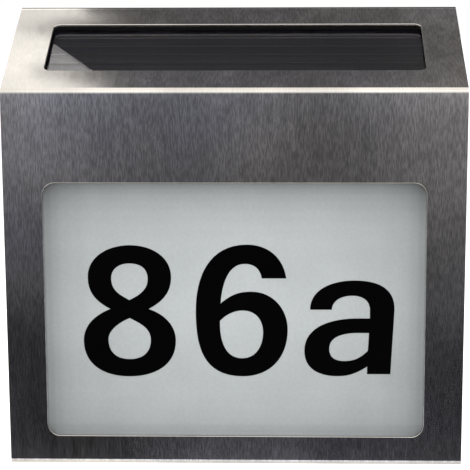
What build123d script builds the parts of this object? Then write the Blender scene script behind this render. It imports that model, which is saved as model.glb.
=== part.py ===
from build123d import *
from math import cos, radians, sin, sqrt, tan
import os

os.makedirs("parts", exist_ok=True)

# An illuminated house number sign for a wall: a folded steel hood over a moulded housing,
# with a lit number panel in the front and a solar panel in the sloping roof.
# X runs to the viewer's right, Y towards the wall, Z up. The origin is on the wall face,
# in the middle of the width and level with the middle of the hood's front.
# All sizes are in millimetres.

# ------------------------------------------------------------------ driving sizes
# Hood, one folded sheet that is open at both sides
hood_width = 180.0
front_height = 151.0  # outside, corner to corner
roof_length = 69.5  # outside, along the slope
roof_slope = 22.0  # degrees
return_length = 22.0  # bottom return, outside
sheet = 0.8
fold_radius = 1.4  # inside the folds
window_edge = 0.25  # rounding of both windows' outer edges
edge_band = 15.25  # steel left beside both windows, and in front of and behind the solar one
wall_gap = 0.6  # the roof stops this far from the wall

# Number window and its opal panel
number_window_height = 102.5
bottom_band = 12.0
number_corner = 5.0
panel_thickness = 2.0
panel_lap = 3.75  # panel hidden behind the steel, all round
panel_corner = 3.0
panel_gasket_thickness = 0.5
gasket_setback = 0.75  # both gaskets stand back from their window's edge
seat_clearance = 0.3  # round the number panel and the solar module
ledge_lap = 3.0  # width of the ledge that the number panel rests on
ledge_thickness = 2.0

# Solar window and the module under it
solar_corner = 3.0
module_lap = 2.75
module_corner = 1.0
solar_gasket_thickness = 1.8
glass_thickness = 2.0
cell_thickness = 0.3
cell_count = 6
cell_gap = 0.8
cell_margin = 1.5  # bare glass round the cells
backing_thickness = 1.0
seat_floor = 2.0
lead_hole_radius = 3.2

# Housing and rear cover
wall = 2.2
side_inset = 1.5  # the housing stands back from the hood's cut edges
housing_corner = 2.4  # clears the hood's folds
rim_gap = 0.4  # the housing's rim stops this far from the wall
cover_thickness = 2.6
cover_gap = 0.3
seal_thickness = 1.0
rim_ledge_width = 2.2
rim_ledge_thickness = 2.4

# Screws of the rear cover
cover_screw_inset = 7.5  # from the housing's inner walls
seat_to_screw = 2.5  # between the upper cups and the solar seat
cover_boss_radius = 3.5
cover_boss_length = 20.0
cover_cup_radius = 4.8
cover_cup_depth = 2.0  # the cups stand in from the cover
gusset = 1.8
cover_head_radius = 2.8
cover_head_height = 2.0
cover_shank_radius = 1.45
cover_shank_length = 14.0
head_clearance = 0.3  # round a sunk screw head
head_sink = 0.2  # a sunk head stays this far below its face
shank_clearance = 0.25  # in the piece that a screw passes through
pilot_clearance = 0.05  # in the piece that a screw bites into
pilot_spare = 1.5  # depth of a blind hole past its screw
head_bevel_share = 0.35  # of a pan head's height
cross_depth_share = 0.6  # of a pan head's height
cross_length_share = 1.2  # of a pan head's radius
cross_width_share = 0.25  # of a pan head's radius
point_share = 0.5  # bevel at a screw's end, of its shank's radius

# Screws of the hood
hood_screw_from_side = 30.0  # from the hood's cut edge
hood_boss_radius = 3.4
hood_head_radius = 2.6
hood_head_height = 1.3
hood_shank_radius = 1.15
hood_shank_length = 6.0
boss_tray_gap = 0.8

# Keyholes in the rear cover, each with a closed pocket for the wall screw's head
keyhole_spacing = 110.0
keyhole_z = 58.0
keyhole_entry_radius = 4.25
keyhole_slot_radius = 2.25
keyhole_travel = 8.0
pocket_margin = 2.2  # round the widest part of the keyhole
pocket_depth = 6.0
pocket_wall = 1.6
rib_height = 3.0
rib_thickness = 1.4

# Light tray, a white wedge that is lit from its top
tray_wall = 1.5
tray_top_depth = 28.0
tray_bottom_depth = 10.0
tray_ear_rise = 34.0  # ears above and below the panel's middle
tray_boss_radius = 2.4
tray_screw_head_radius = 2.0
tray_screw_head_height = 1.3
tray_screw_shank_radius = 0.95
tray_screw_shank_length = 4.6
tray_pilot_depth = 3.6

# Lamps and their board
led_count = 4
led_spacing = 30.0
led_radius = 2.5
led_flange_radius = 2.9
led_flange_height = 1.0
led_body_height = 5.1  # from the flange to the dome's start
led_leg = 0.5
led_leg_length = 3.0
led_leg_pitch = 2.54
led_hole_clearance = 0.1
led_depth = 14.0  # from the tray's mouth to the lamps' line
led_board_length = 120.0
led_board_width = 9.0
board_thickness = 1.2
led_board_screw_inset = 4.0
post_radius = 2.4
led_post_pilot = 3.0

# Control board and what is on it
control_width = 44.0
control_height = 28.0
control_z = 62.0
control_standoff = 4.4
control_hole_inset_x = 4.0
control_hole_inset_z = 3.0
board_screw_head_radius = 1.9
board_screw_head_height = 1.2
board_screw_shank_radius = 0.85
board_screw_shank_length = 3.8
choke_radius = 4.0
choke_waist_radius = 2.9
choke_height = 6.5
choke_flange = 1.2
choke_x = -12.0
choke_z = 64.5
capacitor_radius = 2.5
capacitor_height = 7.0
capacitor_edge = 0.5
capacitor_x = 8.5
capacitor_z = 69.5
chip_width = 5.2
chip_thickness = 1.8
chip_height = 3.8
chip_bevel = 0.7
chip_x = -1.5
chip_z = 65.0
pin_thickness = 0.4
pin_length = 1.6
pin_pitch = 1.27
chip_pin_count = 4

# Battery bay, open to the wall side of the rear cover
bay_z = -32.0
battery_radius = 7.1
battery_length = 48.8  # can alone
battery_cap_radius = 2.75
battery_cap_height = 1.4
battery_cap_edge = 0.4
battery_ring_radius = 6.0
battery_ring_thickness = 0.3
battery_edge = 0.8
battery_bead = 0.6
battery_bead_from_top = 3.2
battery_side_gap = 0.5
battery_floor_gap = 0.3
battery_door_gap = 0.6
bay_wall = 1.6
contact_thickness = 0.4
contact_width = 11.0
contact_front_gap = 2.4
dimple_radius = 2.2
dimple_height = 0.5
dimple_edge = 0.4
tail_width = 3.0
tail_reach = 3.0  # past the bay's floor
tail_slot_clearance = 0.2
spring_length = 5.5  # pressed by the cell
spring_wire = 0.7
spring_base_radius = 4.6
spring_tip_radius = 3.0
spring_turns = 3
spring_steps = 16  # points a turn at which the gap between turns is measured

# Battery door
door_edge = 2.9  # from the seal to the door's long edges
door_corner = 3.0
door_thickness = 2.0
door_sink = 0.3  # door's face below the wall face
door_clearance = 0.3
door_seal_thickness = 0.9
door_seal_width = 2.0
door_seal_gap = 1.0  # from the seal to the door's feet
door_screw_inset = 4.5
door_foot_gap = 0.1
door_rib_height = 2.5
door_rib_thickness = 1.2
door_rib_end_gap = 6.5  # from the bay's ends
door_rib_gap = 0.4
door_head_radius = 2.3
door_head_height = 1.3
door_shank_radius = 1.15
door_shank_length = 7.0
door_pilot_clearance = 0.15
door_boss_radius = 3.0
door_bed_thickness = 1.6  # under the door's recess

# Slide switch in the housing's floor
switch_from_side = 33.5  # from the housing's side
switch_depth = 14.0  # from the wall
switch_travel = 3.0
switch_body_length = 11.6
switch_body_width = 5.8
switch_body_height = 4.6
switch_frame_length = 19.6
switch_frame_thickness = 0.4
switch_frame_corner = 0.8
switch_hole_spacing = 15.0
switch_pad_thickness = 3.6  # floor and pad together
switch_pad_margin = 2.2
well_length = 11.0
well_width = 7.0
well_depth = 2.0
knob_length = 4.0
knob_width = 3.0
knob_sink = 0.4  # the knob's tip below the housing's floor
knob_clearance = 0.3
grip_count = 3
grip_pitch = 1.0
grip_width = 0.4
grip_depth = 0.8
slider_base_length = 6.0
slider_base_width = 4.2
slider_base_height = 0.9
slider_clearance = 0.15
switch_screw_head_radius = 1.6
switch_screw_head_height = 1.1
switch_screw_shank_radius = 0.85
switch_screw_shank_length = 3.0
switch_pin_pitch = 3.0

# Leads, each led past the points of its way
lead_radius = 0.6
arc_share = 0.45  # of the shorter run beside a corner
board_run = 9.0  # straight, square to the control board
board_run_spare = 1.5  # further out where a lead turns towards the board
solar_lead_gap = 3.0
solar_lead_drop = 12.0  # straight run out of the backing
solar_pad_red = 8.0
solar_pad_black = 3.0
solar_pad_row = 5.0  # below the control board's middle
lamp_pad_red = -5.0
lamp_pad_black = -9.0
lamp_pad_row = 9.0
lamp_lead_shift = 2.0
lamp_lead_rise = 9.0  # straight run off the lamp board
lamp_lead_reach = 14.0  # back and up to the turn over the tray
battery_lead_run = 9.0  # straight run off a contact's tail
battery_pad_x = 14.0
battery_pad_row = 11.0
battery_way_x = (26.0, 20.0, 16.0)
battery_way_y = (8.5, 2.0)  # in front of the tails
battery_way_z = (16.0, 42.0, 70.0)  # above the bay's middle
switch_lead_gap = 3.0
switch_lead_rise = 12.0  # first run, up from a pin
switch_lead_lean = 0.5
switch_pad_x = 18.0
switch_pad_row = 5.0
switch_pad_step = 4.0
switch_way_x = (48.0, 44.0, 34.0, 22.0)
switch_way_y = (6.0, 9.0, 7.0)  # in front of the switch
switch_way_z = (35.0, 64.5, 88.5, 108.5)  # above the pins

# ------------------------------------------------------------------ places worked out
slope = radians(roof_slope)
front_y = -(roof_length * cos(slope) + wall_gap)  # outer face of the hood's front
half_front = front_height / 2
window_width = hood_width - 2 * edge_band
housing_width = hood_width - 2 * side_inset
inner_width = housing_width - 2 * wall
hood_screw_x = hood_width / 2 - hood_screw_from_side
hood_screw_y = front_y + return_length / 2
switch_x = housing_width / 2 - switch_from_side

# Depths of the number panel's stack, from the front to the wall
sheet_back = front_y + sheet
panel_front = sheet_back + panel_gasket_thickness
panel_back = panel_front + panel_thickness
ledge_back = panel_back + ledge_thickness
flange_back = ledge_back + tray_wall

# Number window, panel and tray, all on one centre
window_z = bottom_band - half_front + number_window_height / 2
panel_width = window_width + 2 * panel_lap
panel_height = number_window_height + 2 * panel_lap
mouth_width = panel_width - 2 * ledge_lap
mouth_height = panel_height - 2 * ledge_lap
seat_frame_width = panel_width + 2 * (seat_clearance + wall)
seat_frame_height = panel_height + 2 * (seat_clearance + wall)
mouth_top = window_z + mouth_height / 2
mouth_bottom = window_z - mouth_height / 2
tray_top = mouth_top + tray_wall
tray_bottom = mouth_bottom - tray_wall

# Solar module's stack, measured down from the roof's outer face
solar_window_length = roof_length - 2 * edge_band
module_width = window_width + 2 * module_lap
module_length = solar_window_length + 2 * module_lap
glass_top = sheet + solar_gasket_thickness
glass_bottom = glass_top + glass_thickness
cell_bottom = glass_bottom + cell_thickness
backing_bottom = cell_bottom + backing_thickness
seat_bottom = backing_bottom + seat_floor

# Rear cover's stack, measured from the wall
cover_inside = -cover_thickness
seal_front = cover_inside - seal_thickness
rim_ledge_front = seal_front - rim_ledge_thickness
cup_end = cover_inside - cover_cup_depth


def front_plane(y):
    """A plane square to Y, drawn as it is seen from the front; it grows to the front."""
    return Plane(origin=(0, y, 0), x_dir=(1, 0, 0), z_dir=(0, -1, 0))


def wall_plane(y):
    """A plane square to Y that faces the wall; its local X runs to the viewer's left."""
    return Plane(origin=(0, y, 0), x_dir=(-1, 0, 0), z_dir=(0, 1, 0))


def roof_z(y, inset):
    """Height of the line that runs `inset` below the roof's outer face."""
    return half_front + (y - front_y) * tan(slope) - inset / cos(slope)


def section(inset, front, back):
    """Side view between two depths, `inset` inside the hood's floor and roof lines."""
    floor = inset - half_front
    return [
        (front, floor),
        (back, floor),
        (back, roof_z(back, inset)),
        (front, roof_z(front, inset)),
    ]


solar_plane = Plane(
    origin=(
        0,
        front_y + roof_length / 2 * cos(slope),
        half_front + roof_length / 2 * sin(slope),
    ),
    x_dir=(1, 0, 0),
    z_dir=(0, -sin(slope), cos(slope)),
)


def pan_screw(head_radius, head_height, shank_radius, shank_length):
    """A pan-head screw along local Z, the underside of its head at the origin."""
    with BuildPart() as screw:
        with BuildSketch():
            Circle(head_radius)
        extrude(amount=head_height)
        chamfer(screw.edges().group_by(Axis.Z)[-1], head_height * head_bevel_share)
        with BuildSketch(Plane.XY.offset(head_height)):
            Rectangle(head_radius * cross_length_share, head_radius * cross_width_share)
            Rectangle(head_radius * cross_width_share, head_radius * cross_length_share)
        extrude(amount=-head_height * cross_depth_share, mode=Mode.SUBTRACT)
        with BuildSketch():
            Circle(shank_radius)
        extrude(amount=-shank_length)
        chamfer(screw.edges().group_by(Axis.Z)[0], shank_radius * point_share)
    return screw.part


# ------------------------------------------------------------------ steel hood
with BuildPart() as steel_hood:
    with BuildSketch(Plane.YZ):
        with BuildLine():
            outside = FilletPolyline(
                (front_y + roof_length * cos(slope), half_front + roof_length * sin(slope)),
                (front_y, half_front),
                (front_y, -half_front),
                (front_y + return_length, -half_front),
                radius=fold_radius + sheet,
            )
            offset(outside, amount=sheet, side=Side.LEFT)
        make_face()
    extrude(amount=hood_width / 2, both=True)
    with BuildSketch(front_plane(front_y)):
        with Locations((0, window_z)):
            RectangleRounded(window_width, number_window_height, number_corner)
    extrude(amount=-sheet, mode=Mode.SUBTRACT)
    with BuildSketch(solar_plane):
        RectangleRounded(window_width, solar_window_length, solar_corner)
    extrude(amount=-sheet, mode=Mode.SUBTRACT)
    front_face = steel_hood.faces().filter_by(Axis.Y).sort_by(Axis.Y)[0]
    roof_axis = Axis(solar_plane.origin, solar_plane.z_dir)
    roof_face = steel_hood.faces().filter_by(roof_axis).sort_by(roof_axis)[-1]
    window_edges = front_face.inner_wires().edges() + roof_face.inner_wires().edges()
    fillet(window_edges, window_edge)
    with BuildSketch(Plane.XY.offset(-half_front)):
        with Locations((-hood_screw_x, hood_screw_y), (hood_screw_x, hood_screw_y)):
            Circle(hood_shank_radius + shank_clearance)
    extrude(amount=sheet, mode=Mode.SUBTRACT)
steel_hood.part.label = "steel_hood"
export_step(steel_hood.part, "parts/steel_hood.step")

# ------------------------------------------------------------------ number panel
with BuildPart() as number_panel:
    with BuildSketch(front_plane(panel_back)):
        with Locations((0, window_z)):
            RectangleRounded(panel_width, panel_height, panel_corner)
    extrude(amount=panel_thickness)
number_panel.part.label = "number_panel"
export_step(number_panel.part, "parts/number_panel.step")

with BuildPart() as panel_gasket:
    with BuildSketch(front_plane(panel_front)):
        with Locations((0, window_z)):
            RectangleRounded(panel_width, panel_height, panel_corner)
            RectangleRounded(
                window_width + 2 * gasket_setback,
                number_window_height + 2 * gasket_setback,
                number_corner + gasket_setback,
                mode=Mode.SUBTRACT,
            )
    extrude(amount=panel_gasket_thickness)
panel_gasket.part.label = "panel_gasket"
export_step(panel_gasket.part, "parts/panel_gasket.step")

# ------------------------------------------------------------------ solar module
with BuildPart() as solar_gasket:
    with BuildSketch(solar_plane.offset(-glass_top)):
        RectangleRounded(module_width, module_length, module_corner)
        RectangleRounded(
            window_width + 2 * gasket_setback,
            solar_window_length + 2 * gasket_setback,
            solar_corner + gasket_setback,
            mode=Mode.SUBTRACT,
        )
    extrude(amount=solar_gasket_thickness)
solar_gasket.part.label = "solar_gasket"
export_step(solar_gasket.part, "parts/solar_gasket.step")

with BuildPart() as solar_glass:
    with BuildSketch(solar_plane.offset(-glass_bottom)):
        RectangleRounded(module_width, module_length, module_corner)
    extrude(amount=glass_thickness)
solar_glass.part.label = "solar_glass"
export_step(solar_glass.part, "parts/solar_glass.step")

# Long thin-film strips, side by side up the slope
cell_pitch = (module_length - 2 * cell_margin + cell_gap) / cell_count
with BuildPart() as solar_cells:
    with BuildSketch(solar_plane.offset(-cell_bottom)):
        with GridLocations(0, cell_pitch, 1, cell_count):
            Rectangle(module_width - 2 * cell_margin, cell_pitch - cell_gap)
    extrude(amount=cell_thickness)
solar_cells.part.label = "solar_cells"
export_step(solar_cells.part, "parts/solar_cells.step")

with BuildPart() as solar_backing:
    with BuildSketch(solar_plane.offset(-backing_bottom)):
        RectangleRounded(module_width, module_length, module_corner)
    extrude(amount=backing_thickness)
solar_backing.part.label = "solar_backing"
export_step(solar_backing.part, "parts/solar_backing.step")

# ------------------------------------------------------------------ housing
cavity_floor = sheet + wall - half_front
cover_screw_x = inner_width / 2 - cover_screw_inset
lower_screw_z = cavity_floor + cover_screw_inset
upper_screw_z = (
    roof_z(cup_end - cover_boss_length, seat_bottom) - cover_cup_radius - seat_to_screw
)
cover_screw_points = [
    (x, z)
    for x in (-cover_screw_x, cover_screw_x)
    for z in (lower_screw_z, upper_screw_z)
]
rim_opening_width = inner_width - 2 * rim_ledge_width
rim_opening_bottom = cavity_floor + rim_ledge_width
rim_opening_top = roof_z(rim_ledge_front, sheet + wall) - rim_ledge_width
rim_opening_height = rim_opening_top - rim_opening_bottom
rim_opening_z = (rim_opening_top + rim_opening_bottom) / 2

# The light tray is screwed to four small bosses beside the panel's seat
tray_ear_x = seat_frame_width / 2 + tray_boss_radius
tray_ear_radius = inner_width / 2 - tray_ear_x - seat_clearance
tray_ear_points = [
    (x, window_z + z)
    for x in (-tray_ear_x, tray_ear_x)
    for z in (-tray_ear_rise, tray_ear_rise)
]

# The slide switch sits on a thickened patch of the floor, over a finger well
switch_y = -switch_depth
housing_floor = sheet - half_front
switch_seat_z = housing_floor + switch_pad_thickness
switch_pad_length = switch_frame_length + switch_pad_margin
switch_pad_width = max(switch_body_width, well_width) + 2 * switch_pad_margin
switch_screw_points = [
    (switch_x - switch_hole_spacing / 2, switch_y),
    (switch_x + switch_hole_spacing / 2, switch_y),
]

with BuildPart() as housing:
    # Outer form, which fills the folded hood
    with BuildSketch(Plane.YZ):
        with BuildLine():
            Polyline(*section(sheet, sheet_back, -rim_gap), close=True)
        make_face()
    extrude(amount=housing_width / 2, both=True)
    fillet(
        housing.edges().filter_by(Axis.X).group_by(Axis.Y)[0],
        housing_corner,
    )
    # Hollow, open to the wall
    with BuildSketch(Plane.YZ):
        with BuildLine():
            Polyline(*section(sheet + wall, sheet_back + wall, wall), close=True)
        make_face()
    extrude(amount=inner_width / 2, both=True, mode=Mode.SUBTRACT)
    # Ledge round the inside for the rear cover's seal
    with BuildSketch(Plane.YZ):
        with BuildLine():
            Polyline(*section(sheet + wall, rim_ledge_front, seal_front), close=True)
        make_face()
    extrude(amount=inner_width / 2, both=True)
    with BuildSketch(front_plane(seal_front)):
        with Locations((0, rim_opening_z)):
            Rectangle(rim_opening_width, rim_opening_height)
    extrude(amount=rim_ledge_thickness, mode=Mode.SUBTRACT)
    # Picture frame for the number panel: a seat from the front, then a narrower mouth
    with BuildSketch(front_plane(ledge_back)):
        with Locations((0, window_z)):
            RectangleRounded(seat_frame_width, seat_frame_height, panel_corner + wall)
    extrude(amount=ledge_back - sheet_back)
    with BuildSketch(front_plane(sheet_back)):
        with Locations((0, window_z)):
            RectangleRounded(
                panel_width + 2 * seat_clearance,
                panel_height + 2 * seat_clearance,
                panel_corner + seat_clearance,
            )
    extrude(amount=sheet_back - panel_back, mode=Mode.SUBTRACT)
    with BuildSketch(front_plane(panel_back)):
        with Locations((0, window_z)):
            RectangleRounded(mouth_width, mouth_height, number_corner)
    extrude(amount=-ledge_thickness, mode=Mode.SUBTRACT)
    # Sunk seat for the solar module in the sloping top
    with BuildSketch(solar_plane.offset(-seat_bottom)):
        Rectangle(
            module_width + 2 * (seat_clearance + wall),
            module_length + 2 * (seat_clearance + wall),
        )
    extrude(amount=seat_bottom - sheet)
    with BuildSketch(solar_plane.offset(-sheet)):
        RectangleRounded(
            module_width + 2 * seat_clearance,
            module_length + 2 * seat_clearance,
            module_corner + seat_clearance,
        )
    extrude(amount=sheet - backing_bottom, mode=Mode.SUBTRACT)
    with BuildSketch(solar_plane.offset(-backing_bottom)):
        Circle(lead_hole_radius)
    extrude(amount=-seat_floor, mode=Mode.SUBTRACT)
    # Bosses for the rear cover's screws, each tied to its side wall by a gusset
    with BuildSketch(front_plane(cup_end)):
        with Locations(*cover_screw_points):
            Circle(cover_boss_radius)
        for x, z in cover_screw_points:
            side = 1 if x > 0 else -1
            with Locations((x + side * cover_screw_inset / 2, z)):
                Rectangle(cover_screw_inset, gusset)
    extrude(amount=cover_boss_length)
    with BuildSketch(front_plane(cup_end)):
        with Locations(*cover_screw_points):
            Circle(cover_shank_radius + pilot_clearance)
    extrude(amount=cover_shank_length - cover_cup_depth + pilot_spare, mode=Mode.SUBTRACT)
    # Bosses for the light tray's screws, behind the front wall
    with BuildSketch(front_plane(ledge_back)):
        with Locations(*tray_ear_points):
            Circle(tray_boss_radius)
            Rectangle(2 * (inner_width / 2 - tray_ear_x), gusset)
    extrude(amount=ledge_back - sheet_back)
    with BuildSketch(front_plane(ledge_back)):
        with Locations(*tray_ear_points):
            Circle(tray_screw_shank_radius + pilot_clearance)
    extrude(amount=tray_pilot_depth, mode=Mode.SUBTRACT)
    # Bosses for the hood's screws, up from the floor
    hood_screw_points = [(-hood_screw_x, hood_screw_y), (hood_screw_x, hood_screw_y)]
    with BuildSketch(Plane.XY.offset(housing_floor)):
        with Locations(*hood_screw_points):
            Circle(hood_boss_radius)
    extrude(amount=tray_bottom - boss_tray_gap - housing_floor)
    with BuildSketch(Plane.XY.offset(housing_floor)):
        with Locations(*hood_screw_points):
            Circle(hood_shank_radius + pilot_clearance)
    extrude(amount=hood_shank_length, mode=Mode.SUBTRACT)
    # Switch patch, finger well, knob slot and the pilots of the switch's screws
    with BuildSketch(Plane.XY.offset(housing_floor)):
        with Locations((switch_x, switch_y)):
            Rectangle(switch_pad_length, switch_pad_width)
    extrude(amount=switch_pad_thickness)
    with BuildSketch(Plane.XY.offset(housing_floor)):
        with Locations((switch_x, switch_y)):
            SlotOverall(well_length, well_width)
    extrude(amount=well_depth, mode=Mode.SUBTRACT)
    with BuildSketch(Plane.XY.offset(housing_floor)):
        with Locations((switch_x, switch_y)):
            Rectangle(
                knob_length + switch_travel + 2 * knob_clearance,
                knob_width + 2 * knob_clearance,
            )
    extrude(amount=switch_pad_thickness, mode=Mode.SUBTRACT)
    with BuildSketch(Plane.XY.offset(switch_seat_z)):
        with Locations(*switch_screw_points):
            Circle(switch_screw_shank_radius + pilot_clearance)
    extrude(amount=-switch_screw_shank_length, mode=Mode.SUBTRACT)
housing.part.label = "housing"
export_step(housing.part, "parts/housing.step")

with BuildPart() as cover_seal:
    with BuildSketch(Plane.YZ):
        with BuildLine():
            Polyline(*section(sheet + wall + cover_gap, seal_front, cover_inside), close=True)
        make_face()
    extrude(amount=inner_width / 2 - cover_gap, both=True)
    with BuildSketch(front_plane(cover_inside)):
        with Locations((0, rim_opening_z)):
            Rectangle(rim_opening_width, rim_opening_height)
    extrude(amount=seal_thickness, mode=Mode.SUBTRACT)
cover_seal.part.label = "cover_seal"
export_step(cover_seal.part, "parts/cover_seal.step")

# ------------------------------------------------------------------ rear cover
# Battery bay, measured from the wall: door, cell, floor
door_face = -door_sink
door_inside = door_face - door_thickness
door_bed = door_inside - door_seal_thickness
battery_y = door_bed - battery_door_gap - battery_radius + door_seal_thickness
bay_floor = battery_y - battery_radius - battery_floor_gap
bay_bottom = bay_floor - bay_wall
bay_height = 2 * (battery_radius + battery_side_gap)
stack_length = battery_length + battery_cap_height + dimple_height + spring_length
bay_length = stack_length + 2 * contact_thickness
bay_right = bay_length / 2
door_screw_x = bay_right + door_seal_width + door_seal_gap + door_boss_radius
door_screw_points = [(-door_screw_x, bay_z), (door_screw_x, bay_z)]
door_web = door_bed + door_foot_gap  # underside of the door's feet
door_head_seat = door_face - head_sink - door_head_height
door_boss_end = door_head_seat - door_shank_length - pilot_spare
door_length = 2 * (door_screw_x + door_screw_inset)
door_height = bay_height + 2 * (door_seal_width + door_edge)
recess_length = door_length + 2 * door_clearance
recess_height = door_height + 2 * door_clearance
recess_corner = door_corner + door_clearance
bed_back = door_bed - door_bed_thickness

# Control board
control_seat = cover_inside - control_standoff
control_face = control_seat - board_thickness
control_hole_x = control_width / 2 - control_hole_inset_x
control_hole_z = control_height / 2 - control_hole_inset_z
control_holes = [
    (-control_hole_x, control_z - control_hole_z),
    (control_hole_x, control_z + control_hole_z),
]

pocket_width = 2 * (keyhole_entry_radius + pocket_margin)
pocket_bottom = keyhole_z - keyhole_entry_radius - pocket_margin
pocket_top = keyhole_z + keyhole_travel + keyhole_slot_radius + pocket_margin
pocket_height = pocket_top - pocket_bottom
pocket_z = (pocket_top + pocket_bottom) / 2
keyhole_points = [(-keyhole_spacing / 2, keyhole_z), (keyhole_spacing / 2, keyhole_z)]
rib_z = (bay_z + pocket_bottom) / 2

with BuildPart() as rear_cover:
    with BuildSketch(Plane.YZ):
        with BuildLine():
            Polyline(*section(sheet + wall + cover_gap, cover_inside, 0), close=True)
        make_face()
    extrude(amount=inner_width / 2 - cover_gap, both=True)
    # Cups of the cover screws, keyhole pockets, board posts and stiffening ribs
    with BuildSketch(front_plane(cover_inside)):
        with Locations(*cover_screw_points):
            Circle(cover_cup_radius)
    extrude(amount=cover_cup_depth)
    with BuildSketch(front_plane(cover_inside)):
        with GridLocations(keyhole_spacing, 0, 2, 1):
            with Locations((0, pocket_z)):
                RectangleRounded(
                    pocket_width + 2 * pocket_wall,
                    pocket_height + 2 * pocket_wall,
                    keyhole_entry_radius,
                )
    extrude(amount=pocket_depth + pocket_wall)
    with BuildSketch(front_plane(cover_inside)):
        with Locations(*control_holes):
            Circle(post_radius)
    extrude(amount=control_standoff)
    with BuildSketch(front_plane(cover_inside)):
        with Locations((0, rib_z)):
            Rectangle(rim_opening_width - 2 * cover_screw_inset, rib_thickness)
            Rectangle(rib_thickness, pocket_bottom - bay_z - door_height)
        for x in (-keyhole_spacing / 2, keyhole_spacing / 2):
            with Locations((x, rib_z)):
                Rectangle(rib_thickness, pocket_bottom - bay_z)
    extrude(amount=rib_height)
    # Battery bay with its thicker bed and the bosses of the door's screws
    with BuildSketch(front_plane(cover_inside)):
        with Locations((0, bay_z)):
            RectangleRounded(
                recess_length + 2 * bay_wall,
                recess_height + 2 * bay_wall,
                recess_corner + bay_wall,
            )
    extrude(amount=cover_inside - bed_back)
    with BuildSketch(front_plane(bed_back)):
        with Locations(*door_screw_points):
            Circle(door_boss_radius)
    extrude(amount=bed_back - door_boss_end + bay_wall)
    with BuildSketch(front_plane(bed_back)):
        with Locations((0, bay_z)):
            Rectangle(bay_length + 2 * bay_wall, bay_height + 2 * bay_wall)
    extrude(amount=bed_back - bay_bottom)
    # Recess for the door, then the bay itself and the slots of the contact tails
    with BuildSketch(front_plane(0)):
        with Locations((0, bay_z)):
            RectangleRounded(recess_length, recess_height, recess_corner)
    extrude(amount=-door_bed, mode=Mode.SUBTRACT)
    with BuildSketch(front_plane(door_bed)):
        with Locations((0, bay_z)):
            Rectangle(bay_length, bay_height)
    extrude(amount=door_bed - bay_floor, mode=Mode.SUBTRACT)
    tail_slot = contact_thickness + tail_slot_clearance
    tail_slot_x = bay_right - tail_slot / 2
    with BuildSketch(front_plane(bay_floor)):
        with Locations((-tail_slot_x, bay_z), (tail_slot_x, bay_z)):
            Rectangle(tail_slot, tail_width + 2 * tail_slot_clearance)
    extrude(amount=bay_wall, mode=Mode.SUBTRACT)
    with BuildSketch(front_plane(door_bed)):
        with Locations(*door_screw_points):
            Circle(door_shank_radius + door_pilot_clearance)
    extrude(amount=door_bed - door_boss_end, mode=Mode.SUBTRACT)
    # Cover screws: sunk heads from the wall side
    with Locations(wall_plane(0)):
        with Locations(*cover_screw_points):
            CounterBoreHole(
                cover_shank_radius + shank_clearance,
                cover_head_radius + head_clearance,
                cover_head_height + head_sink,
            )
    # Board post pilots
    with BuildSketch(front_plane(control_seat)):
        with Locations(*control_holes):
            Circle(board_screw_shank_radius + pilot_clearance)
    extrude(amount=-control_standoff, mode=Mode.SUBTRACT)
    # Keyholes: round entry below, narrow slot above, and the pocket behind both
    with BuildSketch(front_plane(0)):
        with Locations(*keyhole_points):
            Circle(keyhole_entry_radius)
            with Locations((0, keyhole_travel / 2)):
                SlotCenterToCenter(keyhole_travel, 2 * keyhole_slot_radius, rotation=90)
    extrude(amount=cover_thickness, mode=Mode.SUBTRACT)
    with BuildSketch(front_plane(cover_inside)):
        with GridLocations(keyhole_spacing, 0, 2, 1):
            with Locations((0, pocket_z)):
                RectangleRounded(pocket_width, pocket_height, pocket_margin)
    extrude(amount=pocket_depth, mode=Mode.SUBTRACT)
rear_cover.part.label = "rear_cover"
export_step(rear_cover.part, "parts/rear_cover.step")

# ------------------------------------------------------------------ screws
cover_screw = pan_screw(
    cover_head_radius, cover_head_height, cover_shank_radius, cover_shank_length
)
with BuildPart() as cover_screws:
    with Locations(wall_plane(-cover_head_height - head_sink)):
        with Locations(*cover_screw_points):
            add(cover_screw)
cover_screws.part.label = "cover_screws"
export_step(cover_screws.part, "parts/cover_screws.step")

hood_screw = pan_screw(
    hood_head_radius, hood_head_height, hood_shank_radius, hood_shank_length
)
floor_plane = Plane(origin=(0, 0, -half_front), x_dir=(1, 0, 0), z_dir=(0, 0, -1))
with BuildPart() as hood_screws:
    with Locations(floor_plane):
        with Locations((-hood_screw_x, -hood_screw_y), (hood_screw_x, -hood_screw_y)):
            add(hood_screw)
hood_screws.part.label = "hood_screws"
export_step(hood_screws.part, "parts/hood_screws.step")

tray_screw = pan_screw(
    tray_screw_head_radius,
    tray_screw_head_height,
    tray_screw_shank_radius,
    tray_screw_shank_length,
)
with BuildPart() as tray_screws:
    with Locations(wall_plane(flange_back)):
        with Locations(*tray_ear_points):
            add(tray_screw)
tray_screws.part.label = "tray_screws"
export_step(tray_screws.part, "parts/tray_screws.step")

door_screw = pan_screw(
    door_head_radius, door_head_height, door_shank_radius, door_shank_length
)
with BuildPart() as door_screws:
    with Locations(wall_plane(door_head_seat)):
        with Locations(*door_screw_points):
            add(door_screw)
door_screws.part.label = "door_screws"
export_step(door_screws.part, "parts/door_screws.step")

# ------------------------------------------------------------------ light tray
led_y = ledge_back + led_depth
led_seat_z = tray_top
led_board_bottom = tray_top + led_flange_height + led_leg_length
led_board_top = led_board_bottom + board_thickness
led_post_x = led_board_length / 2 - led_board_screw_inset

# Side view of the tray's inside: deep at the top where the lamps are, shallow at the bottom
wedge_corners = [
    (ledge_back, mouth_bottom),
    (ledge_back + tray_bottom_depth, mouth_bottom),
    (ledge_back + tray_top_depth, mouth_top),
    (ledge_back, mouth_top),
]

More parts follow.
